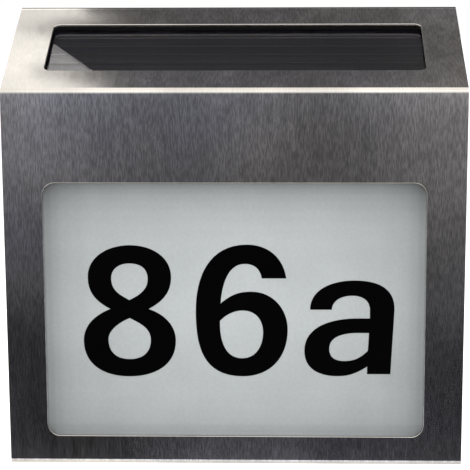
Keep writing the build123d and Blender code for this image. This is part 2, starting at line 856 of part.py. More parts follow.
with BuildPart() as light_tray:
    with BuildSketch(Plane.YZ):
        with BuildLine():
            Polyline(*wedge_corners, close=True)
        make_face()
        offset(amount=tray_wall, kind=Kind.INTERSECTION)
    extrude(amount=mouth_width / 2 + tray_wall, both=True)
    with BuildSketch(front_plane(flange_back)):
        with Locations((0, window_z)):
            RectangleRounded(seat_frame_width, seat_frame_height, panel_corner + wall)
        with Locations(*tray_ear_points):
            Circle(tray_ear_radius)
    extrude(amount=tray_wall)
    split(bisect_by=front_plane(ledge_back), keep=Keep.BOTTOM)
    with BuildSketch(Plane.YZ):
        with BuildLine():
            Polyline(*wedge_corners, close=True)
        make_face()
    extrude(amount=mouth_width / 2, both=True, mode=Mode.SUBTRACT)
    with BuildSketch(front_plane(flange_back)):
        with Locations(*tray_ear_points):
            Circle(tray_screw_shank_radius + shank_clearance)
    extrude(amount=tray_wall, mode=Mode.SUBTRACT)
    # Posts of the lamp board, and the holes that the lamps look through
    with BuildSketch(Plane.XY.offset(tray_top)):
        with Locations((-led_post_x, led_y), (led_post_x, led_y)):
            Circle(post_radius)
    extrude(amount=led_board_bottom - tray_top)
    with BuildSketch(Plane.XY.offset(led_board_bottom)):
        with Locations((-led_post_x, led_y), (led_post_x, led_y)):
            Circle(board_screw_shank_radius + pilot_clearance)
    extrude(amount=-led_post_pilot, mode=Mode.SUBTRACT)
    with BuildSketch(Plane.XY.offset(mouth_top)):
        with Locations((0, led_y)):
            with GridLocations(led_spacing, 0, led_count, 1):
                Circle(led_radius + led_hole_clearance)
    extrude(amount=tray_wall, mode=Mode.SUBTRACT)
light_tray.part.label = "light_tray"
export_step(light_tray.part, "parts/light_tray.step")

# ------------------------------------------------------------------ lamps
with BuildPart() as led_board:
    with BuildSketch(Plane.XY.offset(led_board_bottom)):
        with Locations((0, led_y)):
            Rectangle(led_board_length, led_board_width)
        with Locations((-led_post_x, led_y), (led_post_x, led_y)):
            Circle(board_screw_shank_radius + shank_clearance, mode=Mode.SUBTRACT)
    extrude(amount=board_thickness)
led_board.part.label = "led_board"
export_step(led_board.part, "parts/led_board.step")

# One lamp: a domed body on a flange, dome down, with two legs up to the board
with BuildPart() as led:
    with BuildSketch(Plane.XZ):
        with BuildLine():
            shoulder = Polyline(
                (0, led_flange_height),
                (led_flange_radius, led_flange_height),
                (led_flange_radius, 0),
                (led_radius, 0),
                (led_radius, -led_body_height),
            )
            dome = RadiusArc(shoulder @ 1, (0, -led_body_height - led_radius), led_radius)
            Line(dome @ 1, shoulder @ 0)
        make_face()
    revolve(axis=Axis.Z)
    with BuildSketch(Plane.XY.offset(led_flange_height)):
        with GridLocations(led_leg_pitch, 0, 2, 1):
            Rectangle(led_leg, led_leg)
    extrude(amount=led_leg_length)

with BuildPart() as leds:
    with Locations((0, led_y, led_seat_z)):
        with GridLocations(led_spacing, 0, led_count, 1):
            add(led.part)
leds.part.label = "leds"
export_step(leds.part, "parts/leds.step")

# ------------------------------------------------------------------ control board
with BuildPart() as control_board:
    with BuildSketch(front_plane(control_seat)):
        with Locations((0, control_z)):
            Rectangle(control_width, control_height)
        with Locations(*control_holes):
            Circle(board_screw_shank_radius + shank_clearance, mode=Mode.SUBTRACT)
    extrude(amount=board_thickness)
control_board.part.label = "control_board"
export_step(control_board.part, "parts/control_board.step")

board_screw = pan_screw(
    board_screw_head_radius,
    board_screw_head_height,
    board_screw_shank_radius,
    board_screw_shank_length,
)
with BuildPart() as board_screws:
    with Locations(front_plane(control_face)):
        with Locations(*control_holes):
            add(board_screw)
    with Locations((-led_post_x, led_y, led_board_top), (led_post_x, led_y, led_board_top)):
        add(board_screw)
board_screws.part.label = "board_screws"
export_step(board_screws.part, "parts/board_screws.step")

# A drum core with its winding between two flanges
with BuildPart() as choke_coil:
    with BuildSketch(front_plane(control_face)):
        with Locations((choke_x, choke_z)):
            Circle(choke_radius)
    extrude(amount=choke_flange)
    with BuildSketch(front_plane(control_face)):
        with Locations((choke_x, choke_z)):
            Circle(choke_waist_radius)
    extrude(amount=choke_height)
    with BuildSketch(front_plane(control_face - choke_height + choke_flange)):
        with Locations((choke_x, choke_z)):
            Circle(choke_radius)
    extrude(amount=choke_flange)
choke_coil.part.label = "choke_coil"
export_step(choke_coil.part, "parts/choke_coil.step")

with BuildPart() as capacitor:
    with BuildSketch(front_plane(control_face)):
        with Locations((capacitor_x, capacitor_z)):
            Circle(capacitor_radius)
    extrude(amount=capacitor_height)
    fillet(capacitor.edges().group_by(Axis.Y)[0], capacitor_edge)
capacitor.part.label = "capacitor"
export_step(capacitor.part, "parts/capacitor.step")

# A flat chip that stands on a row of pins
with BuildPart() as control_chip:
    with BuildSketch(front_plane(control_face - pin_length)):
        with Locations((chip_x, chip_z)):
            Rectangle(chip_width, chip_thickness)
    extrude(amount=chip_height)
    chamfer(
        control_chip.edges().filter_by(Axis.X).group_by(Axis.Z)[-1].group_by(Axis.Y)[0],
        chip_bevel,
    )
    with BuildSketch(front_plane(control_face)):
        with Locations((chip_x, chip_z)):
            with GridLocations(pin_pitch, 0, chip_pin_count, 1):
                Rectangle(pin_thickness, pin_thickness)
    extrude(amount=pin_length)
control_chip.part.label = "control_chip"
export_step(control_chip.part, "parts/control_chip.step")

# ------------------------------------------------------------------ battery and contacts
# The cell lies along X: spring at the left end, contact plate at the right end
spring_end = contact_thickness - bay_right + spring_length
cell_plane = Plane(origin=(spring_end, battery_y, bay_z), x_dir=(0, 0, 1), z_dir=(1, 0, 0))

with BuildPart() as battery_can:
    with BuildSketch(cell_plane):
        Circle(battery_radius)
    extrude(amount=battery_length)
    fillet(battery_can.edges().filter_by(GeomType.CIRCLE), battery_edge)
    # Rolled bead round the can, below its top
    with BuildSketch(cell_plane.offset(battery_length - battery_bead_from_top)):
        Circle(battery_radius + battery_bead)
        Circle(battery_radius - battery_bead, mode=Mode.SUBTRACT)
    extrude(amount=battery_bead * 2, mode=Mode.SUBTRACT)
battery_can.part.label = "battery_can"
export_step(battery_can.part, "parts/battery_can.step")

with BuildPart() as battery_ring:
    with BuildSketch(cell_plane.offset(battery_length)):
        Circle(battery_ring_radius)
        Circle(battery_cap_radius + pilot_clearance, mode=Mode.SUBTRACT)
    extrude(amount=battery_ring_thickness)
battery_ring.part.label = "battery_ring"
export_step(battery_ring.part, "parts/battery_ring.step")

with BuildPart() as battery_cap:
    with BuildSketch(cell_plane.offset(battery_length)):
        Circle(battery_cap_radius)
    extrude(amount=battery_cap_height)
    fillet(battery_cap.edges().group_by(Axis.X)[-1], battery_cap_edge)
battery_cap.part.label = "battery_cap"
export_step(battery_cap.part, "parts/battery_cap.step")

contact_front = door_bed - contact_front_gap
contact_depth = contact_front - bay_floor
tail_end = bay_bottom - tail_reach
contact_y = (contact_front + bay_floor) / 2


def contact_outline():
    """A contact plate's flat shape, inside a sketch square to X: a plate and its solder tail."""
    with Locations((contact_y, bay_z)):
        Rectangle(contact_depth, contact_width)
    with Locations(((bay_floor + tail_end) / 2, bay_z)):
        Rectangle(bay_floor - tail_end, tail_width)


with BuildPart() as positive_contact:
    with BuildSketch(Plane.YZ.offset(bay_right - contact_thickness)):
        contact_outline()
    extrude(amount=contact_thickness)
    with BuildSketch(Plane.YZ.offset(bay_right - contact_thickness)):
        with Locations((battery_y, bay_z)):
            Circle(dimple_radius)
    extrude(amount=-dimple_height)
    fillet(
        positive_contact.edges().filter_by(GeomType.CIRCLE).group_by(Axis.X)[0],
        dimple_edge,
    )
positive_contact.part.label = "positive_contact"
export_step(positive_contact.part, "parts/positive_contact.step")

with BuildPart() as negative_contact:
    with BuildSketch(Plane.YZ.offset(-bay_right)):
        contact_outline()
    extrude(amount=contact_thickness)
negative_contact.part.label = "negative_contact"
export_step(negative_contact.part, "parts/negative_contact.step")


# ------------------------------------------------------------------ battery spring
def spring_point(turn):
    """A point on the spring's centre line after `turn` turns, and its direction there."""
    share = turn / spring_turns
    radius = spring_base_radius + (spring_tip_radius - spring_base_radius) * share
    angle = radians(360 * turn)
    reach = spring_length - spring_wire
    centre_x = contact_thickness - bay_right + spring_wire / 2
    point = Vector(
        centre_x + reach * share,
        battery_y + radius * cos(angle),
        bay_z + radius * sin(angle),
    )
    growth = (spring_tip_radius - spring_base_radius) / (radians(360) * spring_turns)
    heading = Vector(
        reach / (radians(360) * spring_turns),
        growth * cos(angle) - radius * sin(angle),
        growth * sin(angle) + radius * cos(angle),
    )
    return point, heading.normalized()


def two_arcs(start, start_heading, end, end_heading):
    """The middle point of two tangent arcs that join two points with these headings."""
    across = end - start
    both = start_heading + end_heading
    bend = 2 * (start_heading.dot(end_heading) - 1)
    lean = across.dot(both)
    reach = (lean - sqrt(lean * lean - bend * across.dot(across))) / bend
    return (start + start_heading * reach + end - end_heading * reach) * 0.5


with BuildPart() as negative_spring:
    with BuildLine() as spring_line:
        for half in range(2 * spring_turns):
            here, here_heading = spring_point(half / 2)
            there, there_heading = spring_point((half + 1) / 2)
            middle = two_arcs(here, here_heading, there, there_heading)
            first = TangentArc(here, middle, tangent=here_heading)
            TangentArc(middle, there, tangent=first % 1)
    with BuildSketch(Plane(origin=spring_point(0)[0], z_dir=spring_point(0)[1])):
        Circle(spring_wire / 2)
    sweep(path=spring_line.wires()[0])
negative_spring.part.label = "negative_spring"
export_step(negative_spring.part, "parts/negative_spring.step")

coil_points = [
    spring_point(step / spring_steps)[0] for step in range(spring_steps * spring_turns + 1)
]
least_gap = min(
    (one - other).length
    for index, one in enumerate(coil_points)
    for other in coil_points[index + spring_steps // 2 :]
)
print("spring: least gap between turns", round(least_gap - spring_wire, 2), "mm")

# ------------------------------------------------------------------ battery door
with BuildPart() as battery_door:
    with BuildSketch(front_plane(door_face)):
        with Locations((0, bay_z)):
            RectangleRounded(door_length, door_height, door_corner)
    extrude(amount=door_thickness)
    # Feet at both ends, where the screws pull the door down
    with BuildSketch(front_plane(door_inside)):
        with Locations(*door_screw_points):
            Circle(door_boss_radius)
    extrude(amount=door_inside - door_web)
    # Two ribs that drop into the bay's mouth beside the cell
    rib_offset = bay_height / 2 - door_rib_gap - door_rib_thickness / 2
    with BuildSketch(front_plane(door_inside)):
        with Locations((0, bay_z - rib_offset), (0, bay_z + rib_offset)):
            Rectangle(bay_length - 2 * door_rib_end_gap, door_rib_thickness)
    extrude(amount=door_rib_height)
    with Locations(wall_plane(door_face)):
        with Locations(*door_screw_points):
            CounterBoreHole(
                door_shank_radius + shank_clearance,
                door_head_radius + head_clearance,
                door_head_height + head_sink,
            )
battery_door.part.label = "battery_door"
export_step(battery_door.part, "parts/battery_door.step")

# The seal is a rubber loop round the bay's mouth, under the door
with BuildPart() as door_seal:
    with BuildSketch(front_plane(door_bed)):
        with Locations((0, bay_z)):
            RectangleRounded(
                bay_length + 2 * door_seal_width,
                bay_height + 2 * door_seal_width,
                door_seal_width,
            )
            Rectangle(bay_length, bay_height, mode=Mode.SUBTRACT)
    extrude(amount=-door_seal_thickness + door_foot_gap / 2)
door_seal.part.label = "door_seal"
export_step(door_seal.part, "parts/door_seal.step")

# ------------------------------------------------------------------ slide switch
frame_top = switch_seat_z + switch_frame_thickness
knob_tip = housing_floor + knob_sink
slider_rest_x = switch_x - switch_travel / 2
body_top = frame_top + switch_body_height

with BuildPart() as switch_frame:
    with BuildSketch(Plane.XY.offset(switch_seat_z)):
        with Locations((switch_x, switch_y)):
            RectangleRounded(switch_frame_length, switch_body_width, switch_frame_corner)
            Rectangle(
                knob_length + switch_travel + 2 * knob_clearance,
                knob_width + 2 * knob_clearance,
                mode=Mode.SUBTRACT,
            )
        with Locations(*switch_screw_points):
            Circle(switch_screw_shank_radius + shank_clearance, mode=Mode.SUBTRACT)
    extrude(amount=switch_frame_thickness)
switch_frame.part.label = "switch_frame"
export_step(switch_frame.part, "parts/switch_frame.step")

with BuildPart() as switch_body:
    with BuildSketch(Plane.XY.offset(frame_top)):
        with Locations((switch_x, switch_y)):
            Rectangle(switch_body_length, switch_body_width)
    extrude(amount=switch_body_height)
    with BuildSketch(Plane.XY.offset(frame_top)):
        with Locations((switch_x, switch_y)):
            Rectangle(
                slider_base_length + switch_travel + 2 * slider_clearance,
                slider_base_width + 2 * slider_clearance,
            )
    extrude(amount=slider_base_height + slider_clearance, mode=Mode.SUBTRACT)
    with BuildSketch(Plane.XY.offset(body_top)):
        with Locations((switch_x, switch_y)):
            with GridLocations(switch_pin_pitch, 0, 3, 1):
                Rectangle(lead_radius * 2, pin_thickness)
    extrude(amount=pin_length)
switch_body.part.label = "switch_body"
export_step(switch_body.part, "parts/switch_body.step")

with BuildPart() as switch_slider:
    with BuildSketch(Plane.XY.offset(frame_top)):
        with Locations((slider_rest_x, switch_y)):
            Rectangle(slider_base_length, slider_base_width)
    extrude(amount=slider_base_height)
    with BuildSketch(Plane.XY.offset(frame_top)):
        with Locations((slider_rest_x, switch_y)):
            Rectangle(knob_length, knob_width)
    extrude(amount=knob_tip - frame_top)
    # Grip grooves across the knob's tip
    with BuildSketch(Plane.XZ.offset(-switch_y - knob_width)):
        with Locations((slider_rest_x, knob_tip)):
            with GridLocations(grip_pitch, 0, grip_count, 1):
                Rectangle(grip_width, 2 * grip_depth)
    extrude(amount=2 * knob_width, mode=Mode.SUBTRACT)
switch_slider.part.label = "switch_slider"
export_step(switch_slider.part, "parts/switch_slider.step")

switch_screw = pan_screw(
    switch_screw_head_radius,
    switch_screw_head_height,
    switch_screw_shank_radius,
    switch_screw_shank_length,
)
with BuildPart() as switch_screws:
    for x, y in switch_screw_points:
        with Locations((x, y, frame_top)):
            add(switch_screw)
switch_screws.part.label = "switch_screws"
export_step(switch_screws.part, "parts/switch_screws.step")


# ------------------------------------------------------------------ leads
def arc_radii(name, points):
    """At each corner the largest arc that its two runs allow, printed to be read."""
    radii = []
    for before, corner, after in zip(points, points[1:], points[2:]):
        run_in = Vector(corner) - Vector(before)
        run_out = Vector(after) - Vector(corner)
        turn = radians(run_in.get_angle(run_out))
        radii.append(arc_share * min(run_in.length, run_out.length) / tan(turn / 2))
    print(name, "arc radii", [round(radius, 1) for radius in radii])
    return radii


def lead(name, points):
    """One insulated lead: straight runs joined by tangent arcs."""
    with BuildPart() as wire:
        with BuildLine() as route:
            FilletPolyline(*points, radius=arc_radii(name, points))
        first_run = Vector(points[1]) - Vector(points[0])
        with BuildSketch(Plane(origin=points[0], z_dir=first_run)):
            Circle(lead_radius)
        sweep(path=route.wires()[0])
    length = route.wires()[0].length
    section_area = wire.part.volume / length
    print(name, "length", round(length, 1), "section", round(section_area, 3))
    return wire.part


# Solar leads: out of the backing through the housing, then down to the control board
pad_plane = solar_plane.offset(-backing_bottom)
solar_routes = {}
for colour, start_x, pad_x in (
    ("red", solar_lead_gap / 2, solar_pad_red),
    ("black", -solar_lead_gap / 2, solar_pad_black),
):
    solar_routes[colour] = [
        pad_plane.from_local_coords((start_x, 0, 0)),
        pad_plane.from_local_coords((start_x, 0, -solar_lead_drop)),
        Vector(pad_x, control_face - board_run, control_z - solar_pad_row),
        Vector(pad_x, control_face, control_z - solar_pad_row),
    ]

solar_lead_red = lead("solar_lead_red", solar_routes["red"])
solar_lead_red.label = "solar_lead_red"
export_step(solar_lead_red, "parts/solar_lead_red.step")

solar_lead_black = lead("solar_lead_black", solar_routes["black"])
solar_lead_black.label = "solar_lead_black"
export_step(solar_lead_black, "parts/solar_lead_black.step")

# Lamp leads: up off the lamp board, over the tray, to the control board's lower edge
lamp_routes = {}
for colour, pad_x in (("red", lamp_pad_red), ("black", lamp_pad_black)):
    start_x = pad_x - lamp_lead_shift
    start_y = led_y + lamp_lead_shift
    lamp_routes[colour] = [
        Vector(start_x, start_y, led_board_top),
        Vector(start_x, start_y, led_board_top + lamp_lead_rise),
        Vector(
            pad_x - lamp_lead_shift / 2,
            led_y + lamp_lead_reach,
            led_board_top + lamp_lead_reach,
        ),
        Vector(pad_x, control_face - board_run, control_z - lamp_pad_row),
        Vector(pad_x, control_face, control_z - lamp_pad_row),
    ]

led_lead_red = lead("led_lead_red", lamp_routes["red"])
led_lead_red.label = "led_lead_red"
export_step(led_lead_red, "parts/led_lead_red.step")

led_lead_black = lead("led_lead_black", lamp_routes["black"])
led_lead_black.label = "led_lead_black"
export_step(led_lead_black, "parts/led_lead_black.step")

# Battery leads: off the contact tails, up behind the light tray
contact_mid = bay_right - contact_thickness / 2
battery_routes = {}
for colour, side in (("red", 1), ("black", -1)):
    low_x, mid_x, high_x = (side * x for x in battery_way_x)
    low_z, mid_z, high_z = (bay_z + z for z in battery_way_z)
    battery_routes[colour] = [
        Vector(side * contact_mid, tail_end, bay_z),
        Vector(side * contact_mid, tail_end - battery_lead_run, bay_z),
        Vector(low_x, tail_end - battery_way_y[0], low_z),
        Vector(mid_x, tail_end - battery_way_y[1], mid_z),
        Vector(high_x, control_face - board_run - board_run_spare, high_z),
        Vector(side * battery_pad_x, control_face - board_run, control_z - battery_pad_row),
        Vector(side * battery_pad_x, control_face, control_z - battery_pad_row),
    ]

battery_lead_red = lead("battery_lead_red", battery_routes["red"])
battery_lead_red.label = "battery_lead_red"
export_step(battery_lead_red, "parts/battery_lead_red.step")

battery_lead_black = lead("battery_lead_black", battery_routes["black"])
battery_lead_black.label = "battery_lead_black"
export_step(battery_lead_black, "parts/battery_lead_black.step")

# Switch leads: up from two pins, past the battery bay, to the control board's right side
pin_top = body_top + pin_length
switch_lead_parts = []
for number, start_x in enumerate((switch_x - switch_pin_pitch, switch_x)):
    shift = number * switch_lead_gap
    way_x = [x + shift for x in switch_way_x]
    way_y = [switch_y - y for y in switch_way_y]
    way_z = [pin_top + z for z in switch_way_z]
    pad_x = switch_pad_x + shift / 3
    pad_z = control_z - switch_pad_row + number * switch_pad_step
    points = [
        Vector(start_x, switch_y, pin_top),
        Vector(start_x, switch_y - switch_lead_lean, pin_top + switch_lead_rise),
        Vector(way_x[0], way_y[0], way_z[0]),
        Vector(way_x[1], way_y[1], way_z[1]),
        Vector(way_x[2], way_y[2], way_z[2]),
        Vector(way_x[3], control_face - board_run - board_run_spare, way_z[3] + shift),
        Vector(pad_x, control_face - board_run, pad_z),
        Vector(pad_x, control_face, pad_z),
    ]
    switch_lead_parts.append(lead("switch_leads", points))

with BuildPart() as switch_leads:
    for wire in switch_lead_parts:
        add(wire)
switch_leads.part.label = "switch_leads"
export_step(switch_leads.part, "parts/switch_leads.step")
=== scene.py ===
# %% [markdown]
# # A solar house number sign, dressed for its picture
# The real thing is a folded stainless hood with a lit opal number panel in its front and a solar
# panel in its sloping roof. Its solids come finished from CAD, in metres, as a fixed frame, so
# nothing here is moved or resized. What is left is what CAD leaves out: the camera, the light,
# the finishes and the cut film numerals.

import bpy
from mathutils import Matrix, Vector


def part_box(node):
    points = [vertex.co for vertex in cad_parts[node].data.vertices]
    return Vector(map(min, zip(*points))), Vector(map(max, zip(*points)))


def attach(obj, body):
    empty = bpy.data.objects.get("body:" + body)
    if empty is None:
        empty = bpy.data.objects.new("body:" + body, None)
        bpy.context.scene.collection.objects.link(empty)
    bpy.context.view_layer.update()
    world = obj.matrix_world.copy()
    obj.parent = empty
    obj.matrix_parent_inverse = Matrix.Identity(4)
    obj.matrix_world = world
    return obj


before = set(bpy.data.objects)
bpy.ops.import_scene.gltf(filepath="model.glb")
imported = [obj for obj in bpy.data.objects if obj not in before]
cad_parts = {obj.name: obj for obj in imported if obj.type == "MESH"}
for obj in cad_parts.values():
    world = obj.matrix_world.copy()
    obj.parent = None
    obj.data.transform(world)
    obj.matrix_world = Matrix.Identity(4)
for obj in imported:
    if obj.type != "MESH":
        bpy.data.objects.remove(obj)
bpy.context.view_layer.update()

# %% [markdown]
# ## Camera
# A catalogue picture is taken with a long lens from a little above, so that the front looks
# square and the roof still shows. The direction and the distance were worked out from the
# straight edges of the sign in the photograph. The camera's matrix is written straight from its
# three axes, because the picture leans by a third of a degree and a target point can't say that.

# %% Place the camera
camera_right = Vector((0.99948677, 0.03163115, -0.00506668))
camera_up = Vector((-0.00153792, 0.20536139, 0.978685))
camera_back = Vector((0.03199743, -0.97817492, 0.20530464))
camera_place = Vector((0.02272, -0.74878, 0.16203))
sensor_width, lens_length = 36, 137.466  # millimetres

camera_data = bpy.data.cameras.new("photo_camera")
camera_data.sensor_width = sensor_width
camera_data.lens = lens_length
camera_data.clip_start = 0.01
camera = bpy.data.objects.new("photo_camera", camera_data)
bpy.context.scene.collection.objects.link(camera)
camera.matrix_world = Matrix((
    (camera_right.x, camera_up.x, camera_back.x, camera_place.x),
    (camera_right.y, camera_up.y, camera_back.y, camera_place.y),
    (camera_right.z, camera_up.z, camera_back.z, camera_place.z),
    (0, 0, 0, 1),
))
bpy.context.scene.camera = camera
print("camera distance:", round(camera_place.length, 3), "m, lens:", lens_length, "mm")

# %% [markdown]
# ## A white studio
# The picture has a plain white ground. One way is a very bright room, but that washes out the
# sign. Here only the rays that look at the ground, straight or in a mirror, see it white, and
# the light that falls on the sign stays plain. Light Path tells those rays apart. The floor
# adds its glow to an ordinary matt surface, so a shadow still shows on it. Its back is clear,
# so that the sign can be looked at from below too.

# %% Small helpers for node trees
def add(tree, kind, **settings):
    """A new node with these properties set."""
    node = tree.nodes.new(kind)
    for name, value in settings.items():
        setattr(node, name, value)
    return node


def combine(tree, how, first, second):
    """One value out of two: their product, their sum or the greater one."""
    node = add(tree, "ShaderNodeMath", operation=how)
    tree.links.new(first, node.inputs[0])
    tree.links.new(second, node.inputs[1])
    return node.outputs[0]


def coordinates(tree):
    """The piece's own X, Y and Z, in metres, as three values."""
    where = add(tree, "ShaderNodeTexCoord")
    axes = add(tree, "ShaderNodeSeparateXYZ")
    tree.links.new(where.outputs["Object"], axes.inputs[0])
    return axes.outputs


def looking_rays(tree):
    """1 for camera, mirror and see-through rays, 0 for the light that falls on things."""
    path = add(tree, "ShaderNodeLightPath")
    seen = path.outputs["Is Camera Ray"]
    for other in ("Is Glossy Ray", "Is Transmission Ray"):
        seen = combine(tree, "MAXIMUM", seen, path.outputs[other])
    return seen


# %% Light the room
room_light = 0.86
world = bpy.data.worlds.new("studio")
bpy.context.scene.world = world
world.use_nodes = True
room = world.node_tree
room.nodes.clear()
soft_fill = add(room, "ShaderNodeBackground")
soft_fill.inputs["Strength"].default_value = room_light
soft_fill.inputs["Color"].default_value = (1, 1, 1, 1)
white_ground = add(room, "ShaderNodeBackground")
white_ground.inputs["Color"].default_value = (1, 1, 1, 1)
pick = add(room, "ShaderNodeMixShader")
room.links.new(looking_rays(room), pick.inputs[0])
room.links.new(soft_fill.outputs[0], pick.inputs[1])
room.links.new(white_ground.outputs[0], pick.inputs[2])
room.links.new(pick.outputs[0], add(room, "ShaderNodeOutputWorld").inputs[0])
print("room light:", room_light)

# %% Lay the floor
floor_level = -0.35
floor_width = 9
floor_shade = 0.8
floor_glow = 0.7
bpy.ops.mesh.primitive_plane_add(size=floor_width, location=(0, 0, floor_level))
floor = bpy.context.object
floor.name = "floor"
floor_finish = bpy.data.materials.new("floor_white")
floor_finish.use_nodes = True
paper = floor_finish.node_tree
paper.nodes.clear()
matt = add(paper, "ShaderNodeBsdfDiffuse")
matt.inputs["Color"].default_value = (floor_shade, floor_shade, floor_shade, 1)
glow = add(paper, "ShaderNodeEmission")
share = add(paper, "ShaderNodeMath", operation="MULTIPLY")
share.inputs[1].default_value = floor_glow
paper.links.new(looking_rays(paper), share.inputs[0])
paper.links.new(share.outputs[0], glow.inputs["Strength"])
both = add(paper, "ShaderNodeAddShader")
paper.links.new(matt.outputs[0], both.inputs[0])
paper.links.new(glow.outputs[0], both.inputs[1])
one_way = add(paper, "ShaderNodeMixShader")
paper.links.new(add(paper, "ShaderNodeNewGeometry").outputs["Backfacing"], one_way.inputs[0])
paper.links.new(both.outputs[0], one_way.inputs[1])
paper.links.new(add(paper, "ShaderNodeBsdfTransparent").outputs[0], one_way.inputs[2])
paper.links.new(one_way.outputs[0], add(paper, "ShaderNodeOutputMaterial").inputs[0])
floor.data.materials.append(floor_finish)
print("floor at", floor_level, "m,", floor_width, "m wide")

# %% [markdown]
# ## Soft boxes
# A soft box is a glowing sheet. The one overhead turns the fold at the roof's front white. The
# others fill the front and the back at a plain level. A small bright lamp would put hard spots
# on the steel, so all three are large.

# %% Hang the soft boxes
watts_per_square_metre = 4  # what gives an area lamp a radiance of 1


def soft_box(name, place, size, radiance, turn=None, aim=None, colour=(1, 1, 1)):
    """An area lamp of that brightness, turned as given or aimed at a point."""
    lamp = bpy.data.lights.new(name, "AREA")
    lamp.shape = "RECTANGLE"
    lamp.size, lamp.size_y = size
    lamp.energy = radiance * watts_per_square_metre * size[0] * size[1]
    lamp.color = colour
    box = bpy.data.objects.new(name, lamp)
    bpy.context.scene.collection.objects.link(box)
    box.location = place
    if aim is None:
        box.rotation_euler = turn
    else:
        box.rotation_euler = (Vector(aim) - Vector(place)).to_track_quat("-Z", "Y").to_euler()
    box.visible_camera = False
    print(name, "radiance", radiance, "watts", round(lamp.energy, 1))


soft_box("overhead_box", (0.0, -0.35, 0.65), (1.3, 1.1), 0.55, turn=(0, 0, 0),
         colour=(1, 0.89, 0.80))
soft_box("front_box", (0.15, -1.35, 0.80), (1.3, 0.7), 0.65, aim=(0, 0, 0))
soft_box("back_box", (-0.3, 1.5, 0.30), (1.4, 0.9), 0.9, aim=(0, 0, 0))

# %% [markdown]
# ## Scales, steps and mixes
# Four small helpers do nearly all the shading from here on: a scale of greys, a soft step
# and a straight one between two values, and a mix of two colours by a mask.

# %% Helpers for shades
def ramp(tree, value, stops):
    """A scale of greys: rows of place from 0 to 1 and shade."""
    node = add(tree, "ShaderNodeValToRGB")
    node.color_ramp.interpolation = "EASE"
    marks = node.color_ramp.elements
    first, *middle, last = stops
    marks[0].position, marks[1].position = first[0], last[0]
    marks[0].color, marks[1].color = (first[1],) * 3 + (1,), (last[1],) * 3 + (1,)
    for spot, shade in middle:
        marks.new(spot).color = (shade, shade, shade, 1)
    tree.links.new(value, node.inputs["Fac"])
    return node.outputs["Color"]


def spread(tree, value, low, high):
    """Stretches the values between low and high to 0 to 1."""
    node = add(tree, "ShaderNodeMapRange", interpolation_type="SMOOTHSTEP")
    tree.links.new(value, node.inputs["Value"])
    node.inputs["From Min"].default_value = low
    node.inputs["From Max"].default_value = high
    return node.outputs["Result"]


def part_way(tree, value, start, end):
    """0 where the value is at the start and 1 where it is at the end."""
    node = add(tree, "ShaderNodeMapRange")
    tree.links.new(value, node.inputs["Value"])
    node.inputs["From Min"].default_value = start
    node.inputs["From Max"].default_value = end
    return node.outputs["Result"]


def between(tree, mask, first, second, how="MIX"):
    """The first colour where the mask is 0, the second where it is 1 or there is no mask."""
    node = add(tree, "ShaderNodeMix", data_type="RGBA", blend_type=how)
    if mask is None:
        node.inputs["Factor"].default_value = 1
    else:
        tree.links.new(mask, node.inputs["Factor"])
    for label, colour in (("A_Color", first), ("B_Color", second)):
        socket = next(s for s in node.inputs if s.identifier == label)
        if isinstance(colour, tuple):
            socket.default_value = (*colour, 1)
        else:
            tree.links.new(colour, socket)
    return next(s for s in node.outputs if s.identifier == "Result_Color")


# %% [markdown]
# ## Dark cards and a white one
# Bare steel shows the room around it. A photographer stands dark cards round it so that it
# doesn't burn out, and so does this scene. Each card is seen in mirrors only and throws no
# shadow. The front card's glow falls off smoothly from its top down, which is the soft fall
# from light grey to dark grey down the sign's front. Lower still it is lighter again, for the
# fold at the sign's foot. It also changes from side to side, in one way at the top, another
# in the middle and a third at the foot, because a real sheet is never quite flat. The card
# reaches far past what the front mirrors straight, because a rough mirror also catches a
# little of what is far to the side, and a white room there would drown the dark foot in
# grain. The white card over the roof's left end gives the glass its pale triangle, and a dark
# wedge is left open in it.

# %% A helper for cards
def card(name, outlines, glow, tint):
    """Flat sheets that only mirrors see. The glow is a number, or a function of the tree."""
    mesh = bpy.data.meshes.new(name)
    corners = [corner for outline in outlines for corner in outline]
    faces, first = [], 0
    for outline in outlines:
        faces.append(tuple(range(first, first + len(outline))))
        first += len(outline)
    mesh.from_pydata(corners, [], faces)
    sheet = bpy.data.objects.new(name, mesh)
    bpy.context.scene.collection.objects.link(sheet)
    finish = bpy.data.materials.new(name)
    finish.use_nodes = True
    tree = finish.node_tree
    tree.nodes.clear()
    lit = add(tree, "ShaderNodeEmission")
    lit.inputs["Color"].default_value = (*tint, 1)
    if callable(glow):
        tree.links.new(glow(tree), lit.inputs["Strength"])
    else:
        lit.inputs["Strength"].default_value = glow
    tree.links.new(lit.outputs[0], add(tree, "ShaderNodeOutputMaterial").inputs[0])
    mesh.materials.append(finish)
    for ray in ("camera", "diffuse", "volume_scatter", "shadow"):
        setattr(sheet, "visible_" + ray, False)
    print(name, "sheets:", len(outlines))


# %% Stand the cards
front_card_y = -0.565
front_card_foot, front_card_top = -0.34, 0.06
front_card_half = 0.45  # where its scales from side to side end
front_card_reach = 1.35  # half its width


